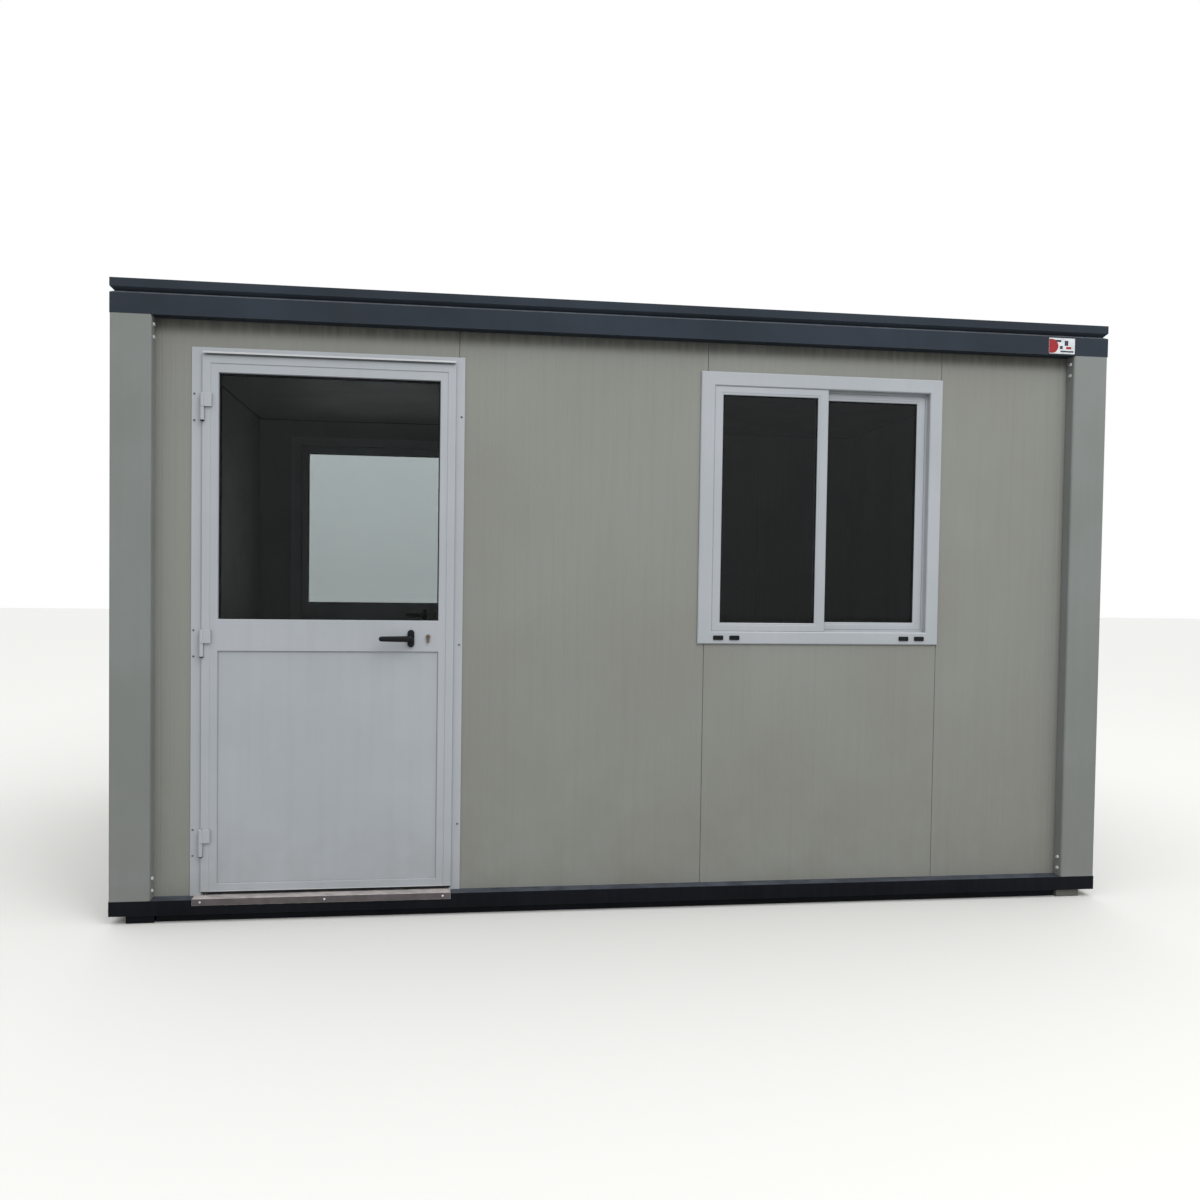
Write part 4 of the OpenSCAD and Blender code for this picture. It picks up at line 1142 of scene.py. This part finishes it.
    # the key slots are black plates on the plugs' faces: painted shade for the dark keyways
    plug, slotShades = lockLook["plug"] * mm, []
    for face, outSign in ((front, -1), (back, 1)):
        plugHigh = (proud + 0.7) * mm
        brassParts.append(lathe(
            [(0, 0), (plug, 0), (plug, plugHigh - 0.0007), (plug - 0.0007, plugHigh),
             (0, plugHigh)], sidePoint(sideSign, cylinderX, face, lockTop - barrel * mm),
            (0, -outSign * sideSign, 0), 28))
        slotShades.append(plateShape((cylinderX, lockTop - barrel * mm), *lockLook["slot"],
                                face + outSign * (proud - 0.2), face + outSign
                                * (proud + 0.8), 0.6, sideSign, 0.1))
    fit(shapePiece(prefix + "Roses", together(*blackParts), "blackPowderCoat"), leafBody,
        "black_handle", prefix + "_door_lock")
    fit(shapePiece(prefix + "LockCylinder", together(*brassParts), "tarnishedBrass"),
        leafBody, "black_handle")
    fit(shapePiece(prefix + "LockSlots", together(*slotShades), "blackRubber"), leafBody,
        "black_handle")
    fit(shapePiece(prefix + "Lever", together(*grips, spindleBar), "blackPowderCoat"),
        handleBody, "black_handle", prefix + "_door_lever")

    # screws in the flange and the sill
    outward = Vector((0, sideSign, 0))
    flangeSpots = []
    for lowFixed, highFixed in fixedHinges:
        for rise in (3, 103):
            flangeSpots.append((sidePoint(sideSign, frameRect[0] + 0.010, faceAt,
                                          lowFixed.z + rise * mm), outward))
    for z in look["flangeScrews"]:
        flangeSpots.append((sidePoint(sideSign, frameRect[1] - 0.012, faceAt,
                                      floorZ + z * mm + 0.03), outward))
    fit(setOut(prefix + "DoorFrameScrews", flangeSpots, screwHead, "dullScrewSteel",
               look["screw"], look["screwHigh"], 1.5, 5), "cabin", "galvanised")
    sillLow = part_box(prefix + "_door_sill")[0]
    sillDepth = depthOf(prefix + "_door_sill", sideSign)[0]
    sillSpots = [(sidePoint(sideSign, sillLow.x + x * mm, sillDepth, sillLow.z + 0.013),
                  outward) for x in look["sillScrews"]]
    fit(setOut(prefix + "SillScrews", sillSpots, screwHead, "zincPlatedSteel",
               look["screw"], look["screwHigh"], 1.5, 6), "cabin", "galvanised")


makeDoor("front", -1)
makeDoor("rear", 1)
print("doors made")


windowLook = {"rim": 9, "sashBead": 11, "gasket": 3}


def makeWindow(look):
    sideSign = -1
    flange = rectOf("window_frame")
    left, right = rectOf("window_left_sash"), rectOf("window_right_sash")
    rim = look["rim"]
    sight = (left[0], right[1] + rim * mm, left[2], left[3])
    over = rectOf("front_panel_over_window")
    under = rectOf("front_panel_under_window")
    body = (over[0] + 0.002, over[1] - 0.002, under[3] + 0.001, over[2] - 0.001)
    near, far = depthOf("window_frame", sideSign)
    wallAt, innerAt = panelDepth / mm, panelInner / mm
    trackAt = depthOf("window_right_sash", sideSign)[0] - 1
    rects = {"sight": sight, "flange": flange, "body": body}
    profile = [("flange", 0, wallAt, 0), ("flange", 0, near + 3, 0.8),
               ("flange", -4, near, 1.6), ("sight", 4, near, 1.4), ("sight", 0, near + 3, 0.8),
               ("sight", 0, trackAt, 0), ("sight", -rim, trackAt, 0.5),
               ("sight", -rim, trackAt + 3, 0), ("sight", -rim, far, 1),
               ("sight", 6, far, 1), ("sight", 6, innerAt + 4, 0),
               ("flange", 0, innerAt + 4, 1.4), ("flange", 0, innerAt, 0),
               ("body", 0, innerAt, 0), ("body", 0, wallAt, 0)]
    fit(shapePiece("windowFrame", frameSweep(rects, profile, sideSign), "extrudedPvc"),
        "cabin", "white_profile", "window_frame")

    glass = cadSolids("window_glass")
    seals, beads = [], []
    for node, name, (lowPoint, highPoint) in (
            ("window_left_sash", "windowLeftSash", glass[0]),
            ("window_right_sash", "windowRightSash", glass[1])):
        outer = rectOf(node)
        light = (lowPoint.x, highPoint.x, lowPoint.z, highPoint.z)
        front, back = depthOf(node, sideSign)
        paneNear = (facePlane + lowPoint.y) / mm
        paneFar = (facePlane + highPoint.y) / mm
        rects = {"light": light, "outer": outer}
        profile = [("outer", 0, front + 2, 0), ("outer", -2, front, 1),
                   ("light", look["sashBead"], front, 0.8),
                   ("light", look["sashBead"] - 1.5, front + 1.2, 0.5),
                   ("light", 3, front + 1.2, 1.2), ("light", 0, paneNear - 0.6, 0.6),
                   ("light", 0, paneFar + 0.6, 0.6), ("light", 3, back, 1.2),
                   ("outer", -2, back, 1), ("outer", 0, back - 2, 0)]
        fit(shapePiece(name, frameSweep(rects, profile, sideSign), "extrudedPvc"), "cabin",
            "white_profile", node)
        seals.append(gasketShape(light, paneNear, sideSign, look))
        seals.append(gasketShape(light, paneFar, sideSign, look, -1))
    fit(shapePiece("windowGaskets", together(*seals), "blackRubber"), "cabin", "black_handle")
    glassNode = frame["nodes"]["window_glass"]
    glassNode.data.materials.clear()
    glassNode.data.materials.append(materials["greyTintedGlass"])

    ring = filleted([(-0.5, -0.214, 0.09, 0), (0.5, -0.214, 0.09, 0), (0.5, 0.214, 0.09, 0),
                     (-0.5, 0.214, 0.09, 0)], 4)
    layers = [(1.0, 0.0), (1.0, 0.5), (0.97, 0.8), (0.9, 1.0)]
    loops = [[Vector((a * s if abs(a) < 0.4 else a - math.copysign((1 - s) * 0.4, a),
                      b * (2 * s - 1), h)) for a, b, tag in ring] for s, h in layers]
    capShape = unitShape("drainCap", loft(loops))
    spotsHere = []
    for lowPoint, highPoint in cadSolids("window_weep_caps"):
        middle = (lowPoint + highPoint) / 2
        spotsHere.append(((middle.x, highPoint.y, middle.z), (0, -1, 0)))
    caps = setOut("drainCaps", spotsHere, capShape, "blackRubber", 42, 5)
    fit(caps, "cabin", "black_handle", "window_weep_caps")


makeWindow(windowLook)
print("window made")


# Marks are (left, right, low, high) as shares of the label.
labelLook = {"red": (0.0, 0.36, 0.03, 0.93), "redBits": ((0.66, 0.86, 0.3, 0.46), ),
             "navy": ((0.1, 0.47, 0.74, 0.88), (0.42, 0.53, 0.3, 0.5), (0.6, 0.74, 0.52, 0.84),
                      (0.44, 0.95, 0.1, 0.2))}


def makeLabel(look):
    low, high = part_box("fascia_label")
    front = depthOf("fascia_label", -1)[0]
    wide, tall = (high.x - low.x) / mm, (high.z - low.z) / mm
    plate = plateShape(((low.x + high.x) / 2, (low.z + high.z) / 2), wide, tall, 0.3,
                       front + 0.2, 3, -1, 0.2)
    fit(shapePiece("labelPlate", plate, "whiteVinyl"), "cabin", "plain_label", "fascia_label")
    left, right, below, above = look["red"]
    radius, middle = (above - below) * tall / 2, (above + below) * tall / 2
    straight = (right - left) * wide - radius
    ring = [(0.5, middle - radius)]
    ring += [(straight + radius * math.cos(math.radians(a)),
              middle + radius * math.sin(math.radians(a))) for a in range(-90, 105, 15)]
    ring.append((0.5, middle + radius))
    red = [loft([[sidePoint(-1, low.x + a * mm, depth, low.z + b * mm) for a, b in ring]
                 for depth in (0.0, front)])]
    navy = []
    for group, marks in ((red, look["redBits"]), (navy, look["navy"])):
        for left, right, below, above in marks:
            centre = (low.x + (left + right) / 2 * wide * mm,
                      low.z + (below + above) / 2 * tall * mm)
            group.append(plateShape(centre, (right - left) * wide, (above - below) * tall,
                                    0.0, front + 0.05, 1, -1, 0.05))
    fit(shapePiece("labelRedMarks", together(*red), "redVinyl"), "cabin", "plain_label")
    fit(shapePiece("labelNavyMarks", together(*navy), "navyVinyl"), "cabin", "plain_label")


makeLabel(labelLook)
fit(setOut("roofScrews", roofScrewSpots, screwHead, "zincPlatedSteel", 12, 4, 1.5, 2),
    "cabin", "galvanised")


studioLook = {"backdrop": 1.0, "horizon": 0.85, "zenith": 2.3, "floor": "#b8b8b6",
              "bounce": "#8f8f8c", "reach": 30, "top": 90, "key": 210}


def makeStudio(look):
    scene = bpy.context.scene
    scene.view_settings.view_transform = "Standard"
    world = bpy.data.worlds.new("studio")
    world.use_nodes = True
    sky = world.node_tree.nodes["Background"]
    sky.inputs[0].default_value = (1, 1, 1, 1)
    # overcast fill, brighter overhead, behind a plain backdrop
    way = addNode(world.node_tree, "ShaderNodeTexCoord").outputs["Generated"]
    up = addNode(world.node_tree, "ShaderNodeSeparateXYZ", {}, {0: way}).outputs[2]
    fill = addNode(world.node_tree, "ShaderNodeMapRange", {"clamp": True},
                   {0: up, 1: 0.0, 2: 1.0, 3: look["horizon"], 4: look["zenith"]})
    seen = addNode(world.node_tree, "ShaderNodeLightPath").outputs["Is Camera Ray"]
    level = addNode(world.node_tree, "ShaderNodeMapRange", {},
                    {0: seen, 3: fill.outputs[0], 4: look["backdrop"]})
    world.node_tree.links.new(level.outputs[0], sky.inputs[1])
    scene.world = world
    material, tree, shader, place = startMaterial("paleStudioFloor")
    # pale to look at, but it throws less light up under the eaves and sills
    path = addNode(tree, "ShaderNodeLightPath").outputs
    shown = addNode(tree, "ShaderNodeMath", {"operation": "MAXIMUM"},
                    {0: path["Is Camera Ray"], 1: path["Is Transmission Ray"]})
    tint = addNode(tree, "ShaderNodeMix", {"data_type": "RGBA"},
                   {0: shown.outputs[0], 6: linear(look["bounce"]), 7: linear(look["floor"])})
    tree.links.new(tint.outputs[2], shader.inputs["Base Color"])
    shader.inputs["Roughness"].default_value = 0.9
    shader.inputs["Specular IOR Level"].default_value = 0.1
    materials["paleStudioFloor"] = material
    reach = look["reach"]
    mesh = bpy.data.meshes.new("studioFloor")
    mesh.from_pydata([(-reach, -reach, 0), (reach, -reach, 0), (reach, reach, 0),
                      (-reach, reach, 0)], [], [(0, 1, 2, 3)])
    linkPiece("studioFloor", mesh, "paleStudioFloor")
    for name, place, size, power in (("topSoftbox", (0, -0.5, 6.5), 6, look["top"]),
                                     ("keySoftbox", (2.0, -5.2, 6.4), 3, look["key"])):
        data = bpy.data.lights.new(name, "AREA")
        data.size = size
        data.energy = power
        lamp = bpy.data.objects.new(name, data)
        lamp.location = place
        aim = Vector((0, 0, 1.0)) - Vector(place)
        lamp.rotation_euler = aim.to_track_quat("-Z", "Y").to_euler()
        lamp.visible_glossy = False
        scene.collection.objects.link(lamp)


makeStudio(studioLook)
